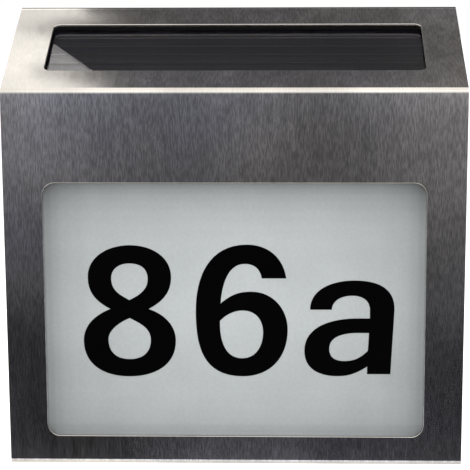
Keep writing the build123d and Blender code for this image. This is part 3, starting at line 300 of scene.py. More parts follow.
def front_fall(tree):
    """Dark at the foot, lighter at the top, and changing from side to side."""
    axes = coordinates(tree)
    across = part_way(tree, axes["X"], -front_card_half, front_card_half)
    up = part_way(tree, axes["Z"], front_card_foot, front_card_top)
    height = ramp(tree, up, [
        (0.0, 0.34), (0.12, 0.34), (0.17, 0.16), (0.21, 0.11), (0.24, 0.060), (0.30, 0.046),
        (0.373, 0.045), (0.445, 0.069), (0.518, 0.113), (0.56, 0.145), (0.62, 0.152),
        (0.70, 0.232), (0.74, 0.274), (0.85, 0.308), (0.866, 0.36), (0.885, 0.56), (1.0, 1.0)])
    top_sides = ramp(tree, across, [
        (0.0, 1.25), (0.318, 1.18), (0.349, 0.90), (0.371, 0.745), (0.394, 0.42), (0.438, 0.66),
        (0.482, 0.70), (0.522, 0.60), (0.559, 0.45), (0.590, 0.53), (0.627, 0.95), (0.65, 1.0),
        (1.0, 1.0)])
    middle_sides = ramp(tree, across, [(0.0, 0.60), (0.34, 0.60), (0.60, 1.0), (1.0, 1.0)])
    foot_sides = ramp(tree, across, [
        (0.0, 1.25), (0.318, 1.25), (0.334, 0.36), (0.394, 0.42), (0.439, 1.9), (0.484, 2.4),
        (0.506, 2.25), (0.535, 1.25), (0.60, 1.1), (0.635, 1.05), (1.0, 1.05)])
    sides = between(tree, spread(tree, up, 0.38, 0.44), foot_sides, middle_sides)
    sides = between(tree, spread(tree, up, 0.49, 0.59), sides, top_sides)
    return combine(tree, "MULTIPLY", height, sides)


card("front_card", [[
    (-front_card_reach, front_card_y, front_card_foot),
    (front_card_reach, front_card_y, front_card_foot),
    (front_card_reach, front_card_y, front_card_top),
    (-front_card_reach, front_card_y, front_card_top),
]], front_fall, (0.98, 0.98, 1.04))


def roof_fall(tree):
    """A little lighter over the roof's front band and beyond the sign's right end."""
    axes = coordinates(tree)
    across = ramp(tree, axes["X"], [(0.0, 0.138), (0.07, 0.138), (0.12, 0.19), (1.0, 0.19)])
    back = ramp(tree, axes["Y"], [(0.0, 1.42), (0.205, 1.37), (0.245, 1.09), (1.0, 1.07)])
    return between(tree, None, across, back, "MULTIPLY")


roof_card_level = 0.42
roof_card_half = 1.0
roof_card_front, roof_card_back = 0.14, 1.0
card("roof_card", [[
    (-roof_card_half, roof_card_front, roof_card_level),
    (roof_card_half, roof_card_front, roof_card_level),
    (roof_card_half, roof_card_back, roof_card_level),
    (-roof_card_half, roof_card_back, roof_card_level),
]], roof_fall, (1.0, 0.97, 0.955))

white_card_level = 0.25
white_card_near = [(-0.50, -0.06), (-0.064, -0.06), (-0.071, 0.070), (-0.0785, 0.0765),
                   (-0.088, 0.079), (-0.0975, 0.0818), (-0.106, 0.0844), (-0.112, 0.0866),
                   (-0.113, 0.089), (-0.079, 0.0922), (-0.1015, 0.1113), (-0.104, 0.1105),
                   (-0.126, 0.1155), (-0.50, 0.1155)]
white_card_far = [(-0.50, 0.1165), (-0.126, 0.1165), (-0.104, 0.1195), (-0.102, 0.1212),
                  (-0.0600, 0.1214), (-0.074, 0.1232), (-0.083, 0.125), (-0.087, 0.1285),
                  (-0.095, 0.145), (-0.095, 0.40), (-0.50, 0.40)]


def white_fall(tree):
    """Bright over the sign's front, weaker towards its back."""
    return ramp(tree, coordinates(tree)["Y"], [
        (0.0, 1.74), (0.09, 1.72), (0.105, 1.80), (0.115, 1.6), (0.128, 1.42), (1.0, 1.42)])


card("white_card", [
    [(x, y, white_card_level) for x, y in outline]
    for outline in (white_card_near, white_card_far)
], white_fall, (1.0, 0.975, 0.955))

# %% [markdown]
# ## Effects that several finishes share
# Each effect is a node group, built once and placed in a material with its own values. A group
# gives out only colours, masks and values that change over the surface, and the shader itself
# stays in the material. All of them read object coordinates, in metres, so their scale is real
# and needs no unwrapping.

# %% A helper for node groups
def new_group(name, inputs, outputs):
    """An empty group with its named inputs, as (name, value), and its named outputs."""
    group = bpy.data.node_groups.new(name, "ShaderNodeTree")
    for label, value in inputs:
        socket = group.interface.new_socket(label, in_out="INPUT", socket_type="NodeSocketFloat")
        socket.default_value = value
    for label in outputs:
        group.interface.new_socket(label, in_out="OUTPUT", socket_type="NodeSocketFloat")
    return group, add(group, "NodeGroupInput"), add(group, "NodeGroupOutput")


def place(tree, group, **values):
    """The group as a node, with values for its inputs."""
    node = add(tree, "ShaderNodeGroup", node_tree=group)
    for label, value in values.items():
        node.inputs[label.replace("_", " ")].default_value = value
    return node


# %% [markdown]
# ### Brushing
# Brushed steel is scratched by an abrasive belt, all one way. Noise that is squeezed hard
# across the scratches and left long along them gives the same short hair lines at every zoom.
# The lines run up the front and on up the slope of the roof, so x is the only squeezed axis.

# %% Group: brushing
lines_across, lines_along = 2100, 290  # to the metre
band_scale = 0.16  # a band is about six hair lines wide
brushing, start, end = new_group(
    "brushing", [("Lines across", lines_across), ("Lines along", lines_along)],
    ["Hair lines", "Bands", "Height"])
where = add(brushing, "ShaderNodeTexCoord")
stretch = add(brushing, "ShaderNodeCombineXYZ")
brushing.links.new(start.outputs["Lines across"], stretch.inputs["X"])
for axis in "YZ":
    brushing.links.new(start.outputs["Lines along"], stretch.inputs[axis])
squeezed = add(brushing, "ShaderNodeVectorMath", operation="MULTIPLY")
brushing.links.new(where.outputs["Object"], squeezed.inputs[0])
brushing.links.new(stretch.outputs[0], squeezed.inputs[1])
hairs = add(brushing, "ShaderNodeTexNoise")
hairs.inputs["Scale"].default_value = 1
hairs.inputs["Detail"].default_value = 2
brushing.links.new(squeezed.outputs[0], hairs.inputs["Vector"])
brushing.links.new(spread(brushing, hairs.outputs["Fac"], 0.36, 0.64), end.inputs["Hair lines"])
brushing.links.new(hairs.outputs["Fac"], end.inputs["Height"])
bands = add(brushing, "ShaderNodeTexNoise")
bands.inputs["Scale"].default_value = band_scale
bands.inputs["Detail"].default_value = 3
brushing.links.new(squeezed.outputs[0], bands.inputs["Vector"])
brushing.links.new(spread(brushing, bands.outputs["Fac"], 0.3, 0.7), end.inputs["Bands"])
print("brushing: hair lines about", round(1000 / lines_across, 2), "mm wide")

# %% [markdown]
# ### Clouds
# Handling, rolling and moulding leave large faint patches on any big surface. A slow noise
# gives them, and each material decides what they change.

# %% Group: clouds
clouds, start, end = new_group("clouds", [("Patches per metre", 30)], ["Cloud"])
where = add(clouds, "ShaderNodeTexCoord")
patches = add(clouds, "ShaderNodeTexNoise")
patches.inputs["Detail"].default_value = 3
clouds.links.new(where.outputs["Object"], patches.inputs["Vector"])
clouds.links.new(start.outputs["Patches per metre"], patches.inputs["Scale"])
clouds.links.new(spread(clouds, patches.outputs["Fac"], 0.3, 0.7), end.inputs["Cloud"])
print("clouds ready")

# %% [markdown]
# ### Rubbed edges
# Corners lose their bloom first. The Bevel node gives the normal that a rounded edge would
# have, and where that differs from the true normal there is an edge. Noise breaks the line up,
# because hands and boxes don't rub evenly.

# %% Group: rubbed edges
rubbed, start, end = new_group(
    "rubbed_edges", [("Width", 0.0004), ("Breaks per metre", 300)], ["Worn"])
rounded = add(rubbed, "ShaderNodeBevel", samples=4)
rubbed.links.new(start.outputs["Width"], rounded.inputs["Radius"])
surface = add(rubbed, "ShaderNodeNewGeometry")
agree = add(rubbed, "ShaderNodeVectorMath", operation="DOT_PRODUCT")
rubbed.links.new(rounded.outputs[0], agree.inputs[0])
rubbed.links.new(surface.outputs["Normal"], agree.inputs[1])
where = add(rubbed, "ShaderNodeTexCoord")
breaks = add(rubbed, "ShaderNodeTexNoise")
breaks.inputs["Detail"].default_value = 2
rubbed.links.new(where.outputs["Object"], breaks.inputs["Vector"])
rubbed.links.new(start.outputs["Breaks per metre"], breaks.inputs["Scale"])
worn = combine(rubbed, "MULTIPLY", spread(rubbed, agree.outputs["Value"], 0.98, 0.80),
               spread(rubbed, breaks.outputs["Fac"], 0.35, 0.60))
rubbed.links.new(worn, end.inputs["Worn"])
print("rubbed edges ready")

# %% [markdown]
# ### Dust
# Dust settles on what faces up. The upward part of the normal, broken by a fine noise, is a
# good mask for it.

# %% Group: dust
dust, start, end = new_group("dust", [("Specks per metre", 900)], ["Dust"])
surface = add(dust, "ShaderNodeNewGeometry")
facing = add(dust, "ShaderNodeSeparateXYZ")
dust.links.new(surface.outputs["Normal"], facing.inputs[0])
where = add(dust, "ShaderNodeTexCoord")
specks = add(dust, "ShaderNodeTexNoise")
specks.inputs["Detail"].default_value = 4
dust.links.new(where.outputs["Object"], specks.inputs["Vector"])
dust.links.new(start.outputs["Specks per metre"], specks.inputs["Scale"])
settled = combine(dust, "MULTIPLY", spread(dust, facing.outputs["Z"], 0.3, 1.0),
                  spread(dust, specks.outputs["Fac"], 0.45, 0.75))
dust.links.new(settled, end.inputs["Dust"])
print("dust ready")

# %% [markdown]
# ### Moulded grain
# A plastic moulding takes its grain from the spark-eroded steel of its mould: tiny round pits,
# from a tenth of a millimetre on small pieces to half a millimetre on a housing. Voronoi cells
# give the pits, for a Bump node, and a noise of the same size gives a faint change of shade.

# %% Group: moulded grain
grain, start, end = new_group("moulded_grain", [("Pits per metre", 5000)], ["Height", "Shade"])
where = add(grain, "ShaderNodeTexCoord")
pits = add(grain, "ShaderNodeTexVoronoi", feature="SMOOTH_F1")
fleck = add(grain, "ShaderNodeTexNoise")
fleck.inputs["Detail"].default_value = 2
for texture in (pits, fleck):
    grain.links.new(where.outputs["Object"], texture.inputs["Vector"])
    grain.links.new(start.outputs["Pits per metre"], texture.inputs["Scale"])
grain.links.new(pits.outputs["Distance"], end.inputs["Height"])
grain.links.new(spread(grain, fleck.outputs["Fac"], 0.3, 0.7), end.inputs["Shade"])
print("moulded grain ready")

# %% [markdown]
# ## Helpers for finishes
# Every finish starts from a Principled shader whose plain numbers sit on its own sockets. Only
# what changes over the surface is wired in.

# %% Start a material, shape its surface and put it on
def start_finish(name, **values):
    """A new material, its tree and its shader, with plain numbers on the shader's sockets."""
    material = bpy.data.materials.new(name)
    material.use_nodes = True
    tree = material.node_tree
    shader = tree.nodes["Principled BSDF"]
    for label, value in values.items():
        shader.inputs[label.replace("_", " ")].default_value = value
    return material, tree, shader


def vary(tree, shader, socket, mask, low, high):
    """Runs one of the shader's values from low to high as the mask goes from 0 to 1."""
    node = add(tree, "ShaderNodeMapRange")
    tree.links.new(mask, node.inputs["Value"])
    node.inputs["To Min"].default_value = low
    node.inputs["To Max"].default_value = high
    tree.links.new(node.outputs["Result"], shader.inputs[socket])


def emboss(tree, shader, height, depth, strength=0.4):
    """Turns a height into a bumpy normal, depth in metres."""
    bump = add(tree, "ShaderNodeBump")
    bump.inputs["Distance"].default_value = depth
    bump.inputs["Strength"].default_value = strength
    tree.links.new(height, bump.inputs["Height"])
    tree.links.new(bump.outputs[0], shader.inputs["Normal"])


def dress(material, *nodes):
    """Puts the finish on CAD nodes."""
    for name in nodes:
        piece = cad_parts[name]
        if not piece.material_slots:
            piece.data.materials.append(material)
        for holder in piece.material_slots:
            holder.material = material
    dressed.update(nodes)
    print(material.name, "on", ", ".join(nodes))


dressed = set()

# %% [markdown]
# ## The hood's brushed stainless steel
# The hood is 0.8 mm sheet, brushed before it was cut and folded. Its grey comes mostly from
# what it mirrors, so its own colour changes only a little. The front has the clearest hair
# lines and the roof is smoother. At the roof's left end and on the fold, where the light burns
# the steel out, a plain, lighter, creamy tone is painted in as a highlight. The underside has a
# plain, darker, browner tone, which is painted shade. The roof's back edge was sheared, and a
# dark line with a bright one beside it is painted along it as the shade and highlight of its
# rolled-over rim. One picture of all this would need unwrapping, so masks are made first, from
# the way the sheet faces and from where it is, and then the colour is built up through them.

# %% Brushed steel: where it faces, and where highlight and shade are painted
steel, tree, shader = start_finish(
    "hood_brushed_steel", Metallic=1.0, Anisotropic=0.6, Anisotropic_Rotation=0.25)
lines = place(tree, brushing)
patches = place(tree, clouds, Patches_per_metre=28)
slow = place(tree, clouds, Patches_per_metre=9)
smudges = place(tree, clouds, Patches_per_metre=120)
worn = place(tree, rubbed, Width=0.0003)
surface = add(tree, "ShaderNodeNewGeometry")
facing = add(tree, "ShaderNodeSeparateXYZ")
tree.links.new(surface.outputs["Normal"], facing.inputs[0])
axes = coordinates(tree)

upward = spread(tree, facing.outputs["Z"], 0.03, 0.3)
downward = spread(tree, facing.outputs["Z"], -0.05, -0.5)
left_end = combine(tree, "MULTIPLY", upward, spread(tree, axes["X"], -0.025, -0.065))
roof_slope = 0.927  # the upward part of the roof's normal
folded = combine(tree, "MULTIPLY", spread(tree, facing.outputs["Z"], 0.0, 0.15),
                 spread(tree, facing.outputs["Z"], roof_slope, 0.90))
# Where a plain, lighter tone is painted in as a highlight: the roof's left end and the fold.
plain = combine(tree, "MAXIMUM", left_end, folded)

# %% Brushed steel: colour
front_lines = between(tree, lines.outputs["Hair lines"], (0.383, 0.378, 0.373),
                      (0.598, 0.593, 0.588))
roof_lines = between(tree, lines.outputs["Hair lines"], (0.42, 0.417, 0.415), (0.59, 0.583, 0.58))
tone = between(tree, upward, front_lines, roof_lines)
# Painted shade: faces turned downwards get a darker, browner tone.
tone = between(tree, downward, tone, (0.46, 0.435, 0.375))
broad = between(tree, lines.outputs["Bands"], (0.94, 0.94, 0.94), (1.06, 1.06, 1.06))
touched = between(tree, upward, (0.97, 0.97, 0.97), (0.90, 0.90, 0.90))
bloom = between(tree, upward, (1.03, 1.03, 1.03), (1.12, 1.12, 1.13))
cloudy = between(tree, smudges.outputs["Cloud"], touched, bloom)
warmth = between(tree, slow.outputs["Cloud"], (0.90, 0.91, 1.02), (1.04, 1.01, 0.96))
for change in (broad, cloudy, warmth):
    tone = between(tree, None, tone, change, "MULTIPLY")
# Painted highlight: a plain, lighter, creamy tone with only faint hair lines.
faint = between(tree, lines.outputs["Hair lines"], (0.535, 0.518, 0.482), (0.56, 0.543, 0.507))
tone = between(tree, plain, tone, faint)
mottle = between(tree, patches.outputs["Cloud"], (0.88, 0.88, 0.88), (1.09, 1.09, 1.09))
tone = between(tree, None, tone, mottle, "MULTIPLY")
tone = between(tree, worn.outputs["Worn"], tone, (0.62, 0.61, 0.60))

sheared_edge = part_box("steel_hood")[1][1]
back_edge_paint_reach = 0.003  # how far in from the back edge the painted dark and bright lines reach
from_edge = part_way(tree, axes["Y"], sheared_edge, sheared_edge - back_edge_paint_reach)
# Painted shade and highlight along the roof's back edge: a dark line, then a bright one.
painted_back_edge_lines = ramp(tree, from_edge, [
    (0.0, 0.08), (0.27, 0.10), (0.40, 1.9), (0.52, 1.5), (0.72, 1.0), (1.0, 1.0)])
tree.links.new(between(tree, None, tone, painted_back_edge_lines, "MULTIPLY"), shader.inputs["Base Color"])
print("sheared edge at", round(sheared_edge, 4), "m")

# %% [markdown]
# The scratches spread every highlight sideways, which is what the shader's anisotropic value
# does. The spreading direction has to follow the folds, so it is the cross product of the
# surface's normal and the width of the sign, turned by a quarter. The fold mirrors softly, and
# the scratches are flattened out where the sheet lies level.

# %% Brushed steel: shine and scratches
smooth = between(tree, upward, (0.13, 0.13, 0.13), (0.125, 0.125, 0.125))
rougher = between(tree, upward, (0.16, 0.16, 0.16), (0.15, 0.15, 0.15))
rough = between(tree, lines.outputs["Bands"], smooth, rougher)
rough = between(tree, folded, rough, (0.25, 0.25, 0.25))
tree.links.new(rough, shader.inputs["Roughness"])
level = add(tree, "ShaderNodeMath", operation="ABSOLUTE")
tree.links.new(facing.outputs["Z"], level.inputs[0])
unscratched = (0.5, 0.5, 0.5)  # the middle height
scratches = between(tree, spread(tree, level.outputs[0], 0.0, 0.6), lines.outputs["Height"],
                    unscratched)
emboss(tree, shader, scratches, depth=0.00002, strength=0.10)
along = add(tree, "ShaderNodeVectorMath", operation="CROSS_PRODUCT")
width_way = (1, 0.02, 0.01)  # a hair off the width, so that the hood's ends have a direction too
along.inputs[1].default_value = width_way
tree.links.new(surface.outputs["Normal"], along.inputs[0])
tree.links.new(along.outputs[0], shader.inputs["Tangent"])
dress(steel, "steel_hood")

# %% [markdown]
# ## The opal number panel
# The panel is milky acrylic with a white tray behind it. By day it isn't lit from inside, so
# its middle, with the deep end of the tray behind it, looks pale and its rim, where the foam
# and the steel take the light away, looks darker. That fall is slow and wide, and light inside
# a milky sheet is slow to work out, so it is painted from the distance to the window's edges:
# one scale for both sides, one from top to bottom, and one for the top's two corners. The
# frosted face also has a fine even speckle, about a millimetre across.

# %% Finish: opal acrylic
half_width, full_height, corner_reach = 74.75, 102.5, 26  # millimetres
window_half_width = half_width / 1000
window_half_height = full_height / 2000
window_middle = -0.01225

opal, tree, shader = start_finish("opal_acrylic", Roughness=0.32, Coat_Roughness=0.1)
axes = coordinates(tree)


def from_middle(tree, coordinate, middle):
    """Distance from the window's middle line, in metres."""
    shift = add(tree, "ShaderNodeMath", operation="SUBTRACT")
    tree.links.new(coordinate, shift.inputs[0])
    shift.inputs[1].default_value = middle
    size = add(tree, "ShaderNodeMath", operation="ABSOLUTE")
    tree.links.new(shift.outputs[0], size.inputs[0])
    return size.outputs[0]


def in_millimetres(deepest, rows):
    """Stops given as millimetres in from an edge, on a scale that ends at the deepest."""
    return [(inwards / deepest, shade) for inwards, shade in rows]


patches = place(tree, clouds, Patches_per_metre=60)
milk = between(tree, patches.outputs["Cloud"], (0.555, 0.599, 0.606), (0.572, 0.616, 0.623))
frost = place(tree, clouds, Patches_per_metre=850)
speckled = between(tree, frost.outputs["Cloud"], (0.972, 0.972, 0.972), (1.028, 1.028, 1.028))
milk = between(tree, None, milk, speckled, "MULTIPLY")
off_middle = from_middle(tree, axes["X"], 0)
from_side = part_way(tree, off_middle, window_half_width, 0)
# Painted shade from the sides inwards, with a thin lighter line painted right at the edge.
side_shade = ramp(tree, from_side, in_millimetres(half_width, [
    (0, 0.60), (0.6, 0.63), (1.5, 0.56), (2.2, 0.565), (4, 0.64), (8, 0.745), (12, 0.80),
    (20, 0.87), (40, 0.955), (half_width, 1.0)]))
window_top, window_foot = window_middle + window_half_height, window_middle - window_half_height
from_top = part_way(tree, axes["Z"], window_top, window_foot)
# Painted shade from top to foot: darkest along the top edge, with a lighter line painted along the
# foot.
top_shade = ramp(tree, from_top, in_millimetres(full_height, [
    (0, 0.32), (0.6, 0.53), (1.0, 0.485), (1.8, 0.50), (3.5, 0.567), (5.5, 0.66), (9, 0.748),
    (13, 0.83), (18.5, 0.895), (25, 0.94), (51, 1.0), (84, 0.875), (89.5, 0.84), (93.5, 0.80),
    (97, 0.76), (99, 0.675), (101, 0.65), (101.9, 0.735), (full_height, 0.86)]))
corner = window_half_width + window_middle + window_half_height
aslant = combine(tree, "ADD", off_middle, axes["Z"])
from_corner = part_way(tree, aslant, corner, corner - corner_reach / 1000)
corner_shade = ramp(tree, from_corner, in_millimetres(corner_reach, [
    (0, 0.70), (4, 0.76), (9, 0.88), (14, 0.94), (20, 0.99), (corner_reach, 1.0)]))
for shade in (side_shade, top_shade, corner_shade):
    milk = between(tree, None, milk, shade, "MULTIPLY")
tree.links.new(milk, shader.inputs["Base Color"])
vary(tree, shader, "Roughness", patches.outputs["Cloud"], 0.28, 0.36)
dress(opal, "number_panel")

# %% [markdown]
# ## Solar cells under their glass
# The solar panel is six long strips of thin film, near black with a breath of blue, on a
# backing board. Thin scribed lines cross them. The cover glass is a plain clear sheet whose
# polished face mirrors the cards.

# %% Finish: solar film and cover glass
film, tree, shader = start_finish("solar_film", Specular_IOR_Level=0.04)
where = add(tree, "ShaderNodeTexCoord")
scribe = add(tree, "ShaderNodeTexWave", wave_type="BANDS", bands_direction="X")
scribe.inputs["Scale"].default_value = 60  # a line every 5 mm
scribe.inputs["Distortion"].default_value = 0.2
tree.links.new(where.outputs["Object"], scribe.inputs["Vector"])
patches = place(tree, clouds, Patches_per_metre=40)
dark = between(tree, patches.outputs["Cloud"], (0.0220, 0.0215, 0.0345), (0.0260, 0.0250, 0.0365))
scribed = spread(tree, scribe.outputs["Fac"], 0.96, 1.0)
tree.links.new(between(tree, scribed, dark, (0.0280, 0.0270, 0.0355)), shader.inputs["Base Color"])
vary(tree, shader, "Roughness", patches.outputs["Cloud"], 0.45, 0.55)
dress(film, "solar_cells")

glass, tree, shader = start_finish(
    "solar_cover_glass", Base_Color=(0.94, 0.95, 0.96, 1), Transmission_Weight=1.0, IOR=1.5)
patches = place(tree, clouds, Patches_per_metre=60)
vary(tree, shader, "Roughness", patches.outputs["Cloud"], 0.0, 0.012)
dress(glass, "solar_glass")

# %% [markdown]
# ## Black mouldings and rubber
# The housing, the rear cover, the battery door and the switch's frame are black plastic with
# moulded grain. Handling leaves them darker here and there, dust sits on their upper faces, and
# their edges have gone a little grey. The seals are softer and duller, with a finer grain. One
# function builds them all, and each has its own values.

# %% Finish: moulded plastics and rubber
def moulded(name, dark, light, rough, pits=5000, depth=0.00003, worn_colour=None, rub=0.0004,
            dusty=0.10, **plain):
    """A moulded surface: two shades, grain, rubbed edges and dust."""
    material, tree, shader = start_finish(name, **plain)
    skin = place(tree, grain, Pits_per_metre=pits)
    patches = place(tree, clouds, Patches_per_metre=45)
    tone = between(tree, skin.outputs["Shade"], dark, light)
    handled = place(tree, clouds, Patches_per_metre=18)
    uneven = between(tree, handled.outputs["Cloud"], (0.80, 0.80, 0.80), (1.18, 1.18, 1.18))
    tone = between(tree, None, tone, uneven, "MULTIPLY")
    if worn_colour:
        worn = place(tree, rubbed, Width=rub)
        tone = between(tree, worn.outputs["Worn"], tone, worn_colour)
    specks = place(tree, dust)
    tone = between(tree, specks.outputs["Dust"], tone, tuple(c + dusty for c in light))
    tree.links.new(tone, shader.inputs["Base Color"])
    vary(tree, shader, "Roughness", patches.outputs["Cloud"], *rough)
    emboss(tree, shader, skin.outputs["Height"], depth)
    return material


housing_black = moulded(
    "housing_black", (0.010, 0.010, 0.011), (0.036, 0.036, 0.038), (0.36, 0.56), pits=1500,
    depth=0.00010, worn_colour=(0.12, 0.12, 0.12), rub=0.0008, dusty=0.05)
dress(housing_black, "housing", "rear_cover")
door_black = moulded(
    "door_black", (0.014, 0.014, 0.015), (0.044, 0.044, 0.046), (0.34, 0.50), pits=1900,
    depth=0.00008, worn_colour=(0.13, 0.13, 0.13), rub=0.0006, dusty=0.05)
dress(door_black, "battery_door", "switch_frame")
seal_rubber = moulded(
    "seal_rubber", (0.016, 0.016, 0.016), (0.024, 0.024, 0.024), (0.70, 0.82), pits=9000,
    depth=0.00001, dusty=0.04)
dress(seal_rubber, "cover_seal", "door_seal")
foam_black = moulded(
    "foam_black", (0.003, 0.003, 0.003), (0.014, 0.014, 0.014), (0.85, 0.95), pits=2600,
    depth=0.00012, dusty=0.01, Specular_IOR_Level=0.25)
dress(foam_black, "panel_gasket", "solar_gasket")

# %% Finish: pale and small mouldings
tray_white = moulded(
    "tray_white", (0.78, 0.78, 0.76), (0.86, 0.86, 0.84), (0.30, 0.42), pits=3000,
    depth=0.00001, dusty=0.02)
dress(tray_white, "light_tray")
slider_nylon = moulded(
    "slider_nylon", (0.72, 0.72, 0.69), (0.80, 0.80, 0.77), (0.40, 0.50), pits=6000,
    depth=0.00001, worn_colour=(0.55, 0.54, 0.50), dusty=0.02)
dress(slider_nylon, "switch_slider")
chip_epoxy = moulded(
    "chip_epoxy", (0.018, 0.018, 0.018), (0.032, 0.032, 0.032), (0.50, 0.60), pits=7000,
    worn_colour=(0.08, 0.08, 0.08), dusty=0.03)
dress(chip_epoxy, "control_chip")
ring_card = moulded(
    "ring_card", (0.72, 0.70, 0.64), (0.84, 0.82, 0.76), (0.75, 0.85), pits=8000,
    depth=0.00002, dusty=0.0)
dress(ring_card, "battery_ring")

# %% [markdown]
# ## Bare metal parts
# Screws are zinc plated and turned, contacts are nickel plated strip, and the slide switch has
# a pressed steel shell. All of them are metal whose shine changes in fine lines, so they reuse
# the hood's brushing with lines of their own size.

# %% Finish: plated metals
def plated(name, dull, bright, rough, across, along, worn_colour, **plain):
    """A plated metal surface with fine lines."""
    material, tree, shader = start_finish(name, Metallic=1.0, **plain)
    lines = place(tree, brushing, Lines_across=across, Lines_along=along)
    patches = place(tree, clouds, Patches_per_metre=250)
    tone = between(tree, lines.outputs["Hair lines"], dull, bright)
    worn = place(tree, rubbed, Width=0.00015, Breaks_per_metre=1500)
    tone = between(tree, worn.outputs["Worn"], tone, worn_colour)
    tree.links.new(tone, shader.inputs["Base Color"])
    vary(tree, shader, "Roughness", patches.outputs["Cloud"], *rough)
    emboss(tree, shader, lines.outputs["Height"], depth=0.00001, strength=0.2)
    return material


screw_zinc = plated(
    "screw_zinc", (0.50, 0.51, 0.53), (0.64, 0.65, 0.66), (0.22, 0.38), 3000, 3000,
    (0.78, 0.78, 0.78))
dress(screw_zinc, "cover_screws", "hood_screws", "tray_screws", "door_screws", "board_screws",
      "switch_screws")
nickel = plated(
    "contact_nickel", (0.58, 0.56, 0.52), (0.74, 0.72, 0.67), (0.16, 0.30), 2600, 400,
    (0.84, 0.82, 0.78))
dress(nickel, "positive_contact", "negative_contact", "negative_spring", "battery_cap")
switch_shell = plated(
    "switch_shell", (0.46, 0.46, 0.46), (0.60, 0.60, 0.60), (0.25, 0.40), 2600, 300,
    (0.72, 0.72, 0.72))
dress(switch_shell, "switch_body")

# %% [markdown]
# ## Boards, lamps and small electrics
# A printed board is glass cloth under a coat of solder mask, and its copper tracks show through
# as a slightly lighter or darker shade. Brick pattern at a small scale gives that look of
# straight tracks without any lettering. The lamps are clear resin, the coil is lacquered
# copper, and the capacitor and the battery have shrunk sleeves with a plain stripe.

# %% Finish: printed boards
full_turn = 6.2832


def board(name, mask_colour, track_colour):
    """Solder mask over straight copper tracks."""
    material, tree, shader = start_finish(name, Coat_Weight=0.3, Coat_Roughness=0.15)
    where = add(tree, "ShaderNodeTexCoord")
    tracks = add(tree, "ShaderNodeTexBrick")
    tracks.inputs["Scale"].default_value = 160
    tracks.inputs["Mortar Size"].default_value = 0.04
    tracks.inputs["Mortar Smooth"].default_value = 0.2
    turned = add(tree, "ShaderNodeMapping")
    turned.inputs["Rotation"].default_value = (full_turn / 4, 0, 0)
    tree.links.new(where.outputs["Object"], turned.inputs["Vector"])
    tree.links.new(turned.outputs[0], tracks.inputs["Vector"])
    tone = between(tree, tracks.outputs["Fac"], mask_colour, track_colour)
    patches = place(tree, clouds, Patches_per_metre=120)
    tree.links.new(tone, shader.inputs["Base Color"])
    vary(tree, shader, "Roughness", patches.outputs["Cloud"], 0.30, 0.42)
    emboss(tree, shader, tracks.outputs["Fac"], depth=0.00002, strength=0.3)
    return material


dress(board("board_green", (0.02, 0.13, 0.06), (0.05, 0.24, 0.11)), "control_board")
dress(board("board_black", (0.010, 0.010, 0.010), (0.020, 0.019, 0.018)), "solar_backing")
dress(board("board_white", (0.80, 0.80, 0.78), (0.68, 0.68, 0.65)), "led_board")


# %% Finish: lamp resin, coil, sleeves
resin, tree, shader = start_finish("lamp_resin", Coat_Weight=0.4)
where = add(tree, "ShaderNodeTexCoord")
patches = place(tree, clouds, Patches_per_metre=900)
tree.links.new(
    between(tree, patches.outputs["Cloud"], (0.86, 0.84, 0.66), (0.93, 0.92, 0.82)),
    shader.inputs["Base Color"])
vary(tree, shader, "Roughness", patches.outputs["Cloud"], 0.08, 0.16)
dress(resin, "leds")
wave_pace = 20  # how fast the Wave texture runs at scale 1


def banded(name, first, second, count, direction, low, high, rough, **plain):
    """A surface wound or printed in bands, count of them to the metre."""
    material, tree, shader = start_finish(name, **plain)
    where = add(tree, "ShaderNodeTexCoord")
    wave = add(tree, "ShaderNodeTexWave", wave_type="BANDS", bands_direction=direction)
    wave.inputs["Scale"].default_value = count / wave_pace * full_turn
    tree.links.new(where.outputs["Object"], wave.inputs["Vector"])
    patches = place(tree, clouds, Patches_per_metre=200)
    mask = spread(tree, wave.outputs["Fac"], low, high)
    tree.links.new(between(tree, mask, first, second), shader.inputs["Base Color"])
    vary(tree, shader, "Roughness", patches.outputs["Cloud"], *rough)
    emboss(tree, shader, wave.outputs["Fac"], depth=0.00008, strength=0.5)
    return material


dress(banded("coil_copper", (0.16, 0.055, 0.02), (0.50, 0.22, 0.08), 400, "Y", 0.1, 0.9,
             (0.25, 0.35), Coat_Weight=0.5), "choke_coil")
dress(banded("capacitor_sleeve", (0.03, 0.05, 0.16), (0.05, 0.08, 0.26), 60, "X", 0.2, 0.8,
             (0.30, 0.42)), "capacitor")
dress(banded("battery_sleeve", (0.05, 0.26, 0.12), (0.09, 0.36, 0.18), 40, "X", 0.3, 0.7,
             (0.22, 0.34)), "battery_can")

# %% [markdown]
# ## Leads
# The leads are thin stranded wires with soft insulation. The lay of the strands would show
# through the skin as a slight twist; here the skin has a fine grain instead, so it isn't smooth.
# Red is plus, black is minus, and yellow goes to the switch.

# %% Finish: lead insulation
lead_skin = {"rough": (0.40, 0.52), "depth": 0.00004, "pits": 1800, "dusty": 0.0}
red = moulded("lead_red", (0.36, 0.016, 0.010), (0.50, 0.030, 0.018), **lead_skin)
dress(red, "solar_lead_red", "led_lead_red", "battery_lead_red")
black = moulded("lead_black", (0.012, 0.012, 0.012), (0.024, 0.024, 0.024), **lead_skin)
dress(black, "solar_lead_black", "led_lead_black", "battery_lead_black")
yellow = moulded("lead_yellow", (0.52, 0.36, 0.03), (0.68, 0.50, 0.05), **lead_skin)
dress(yellow, "switch_leads")
print("CAD nodes without a finish:", sorted(set(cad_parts) - dressed))

# %% [markdown]
# ## The numerals
# The number is cut from black self-adhesive film and stuck on the panel's face. Its edge is
# a tenth of a millimetre thick. A picture of the letters wouldn't have that edge, and a font
# wouldn't have these shapes, so each outline is drawn as a closed Bezier curve: one row for each
# knot, with its two handles, in millimetres across and up. Inner rings cut holes in the fill.

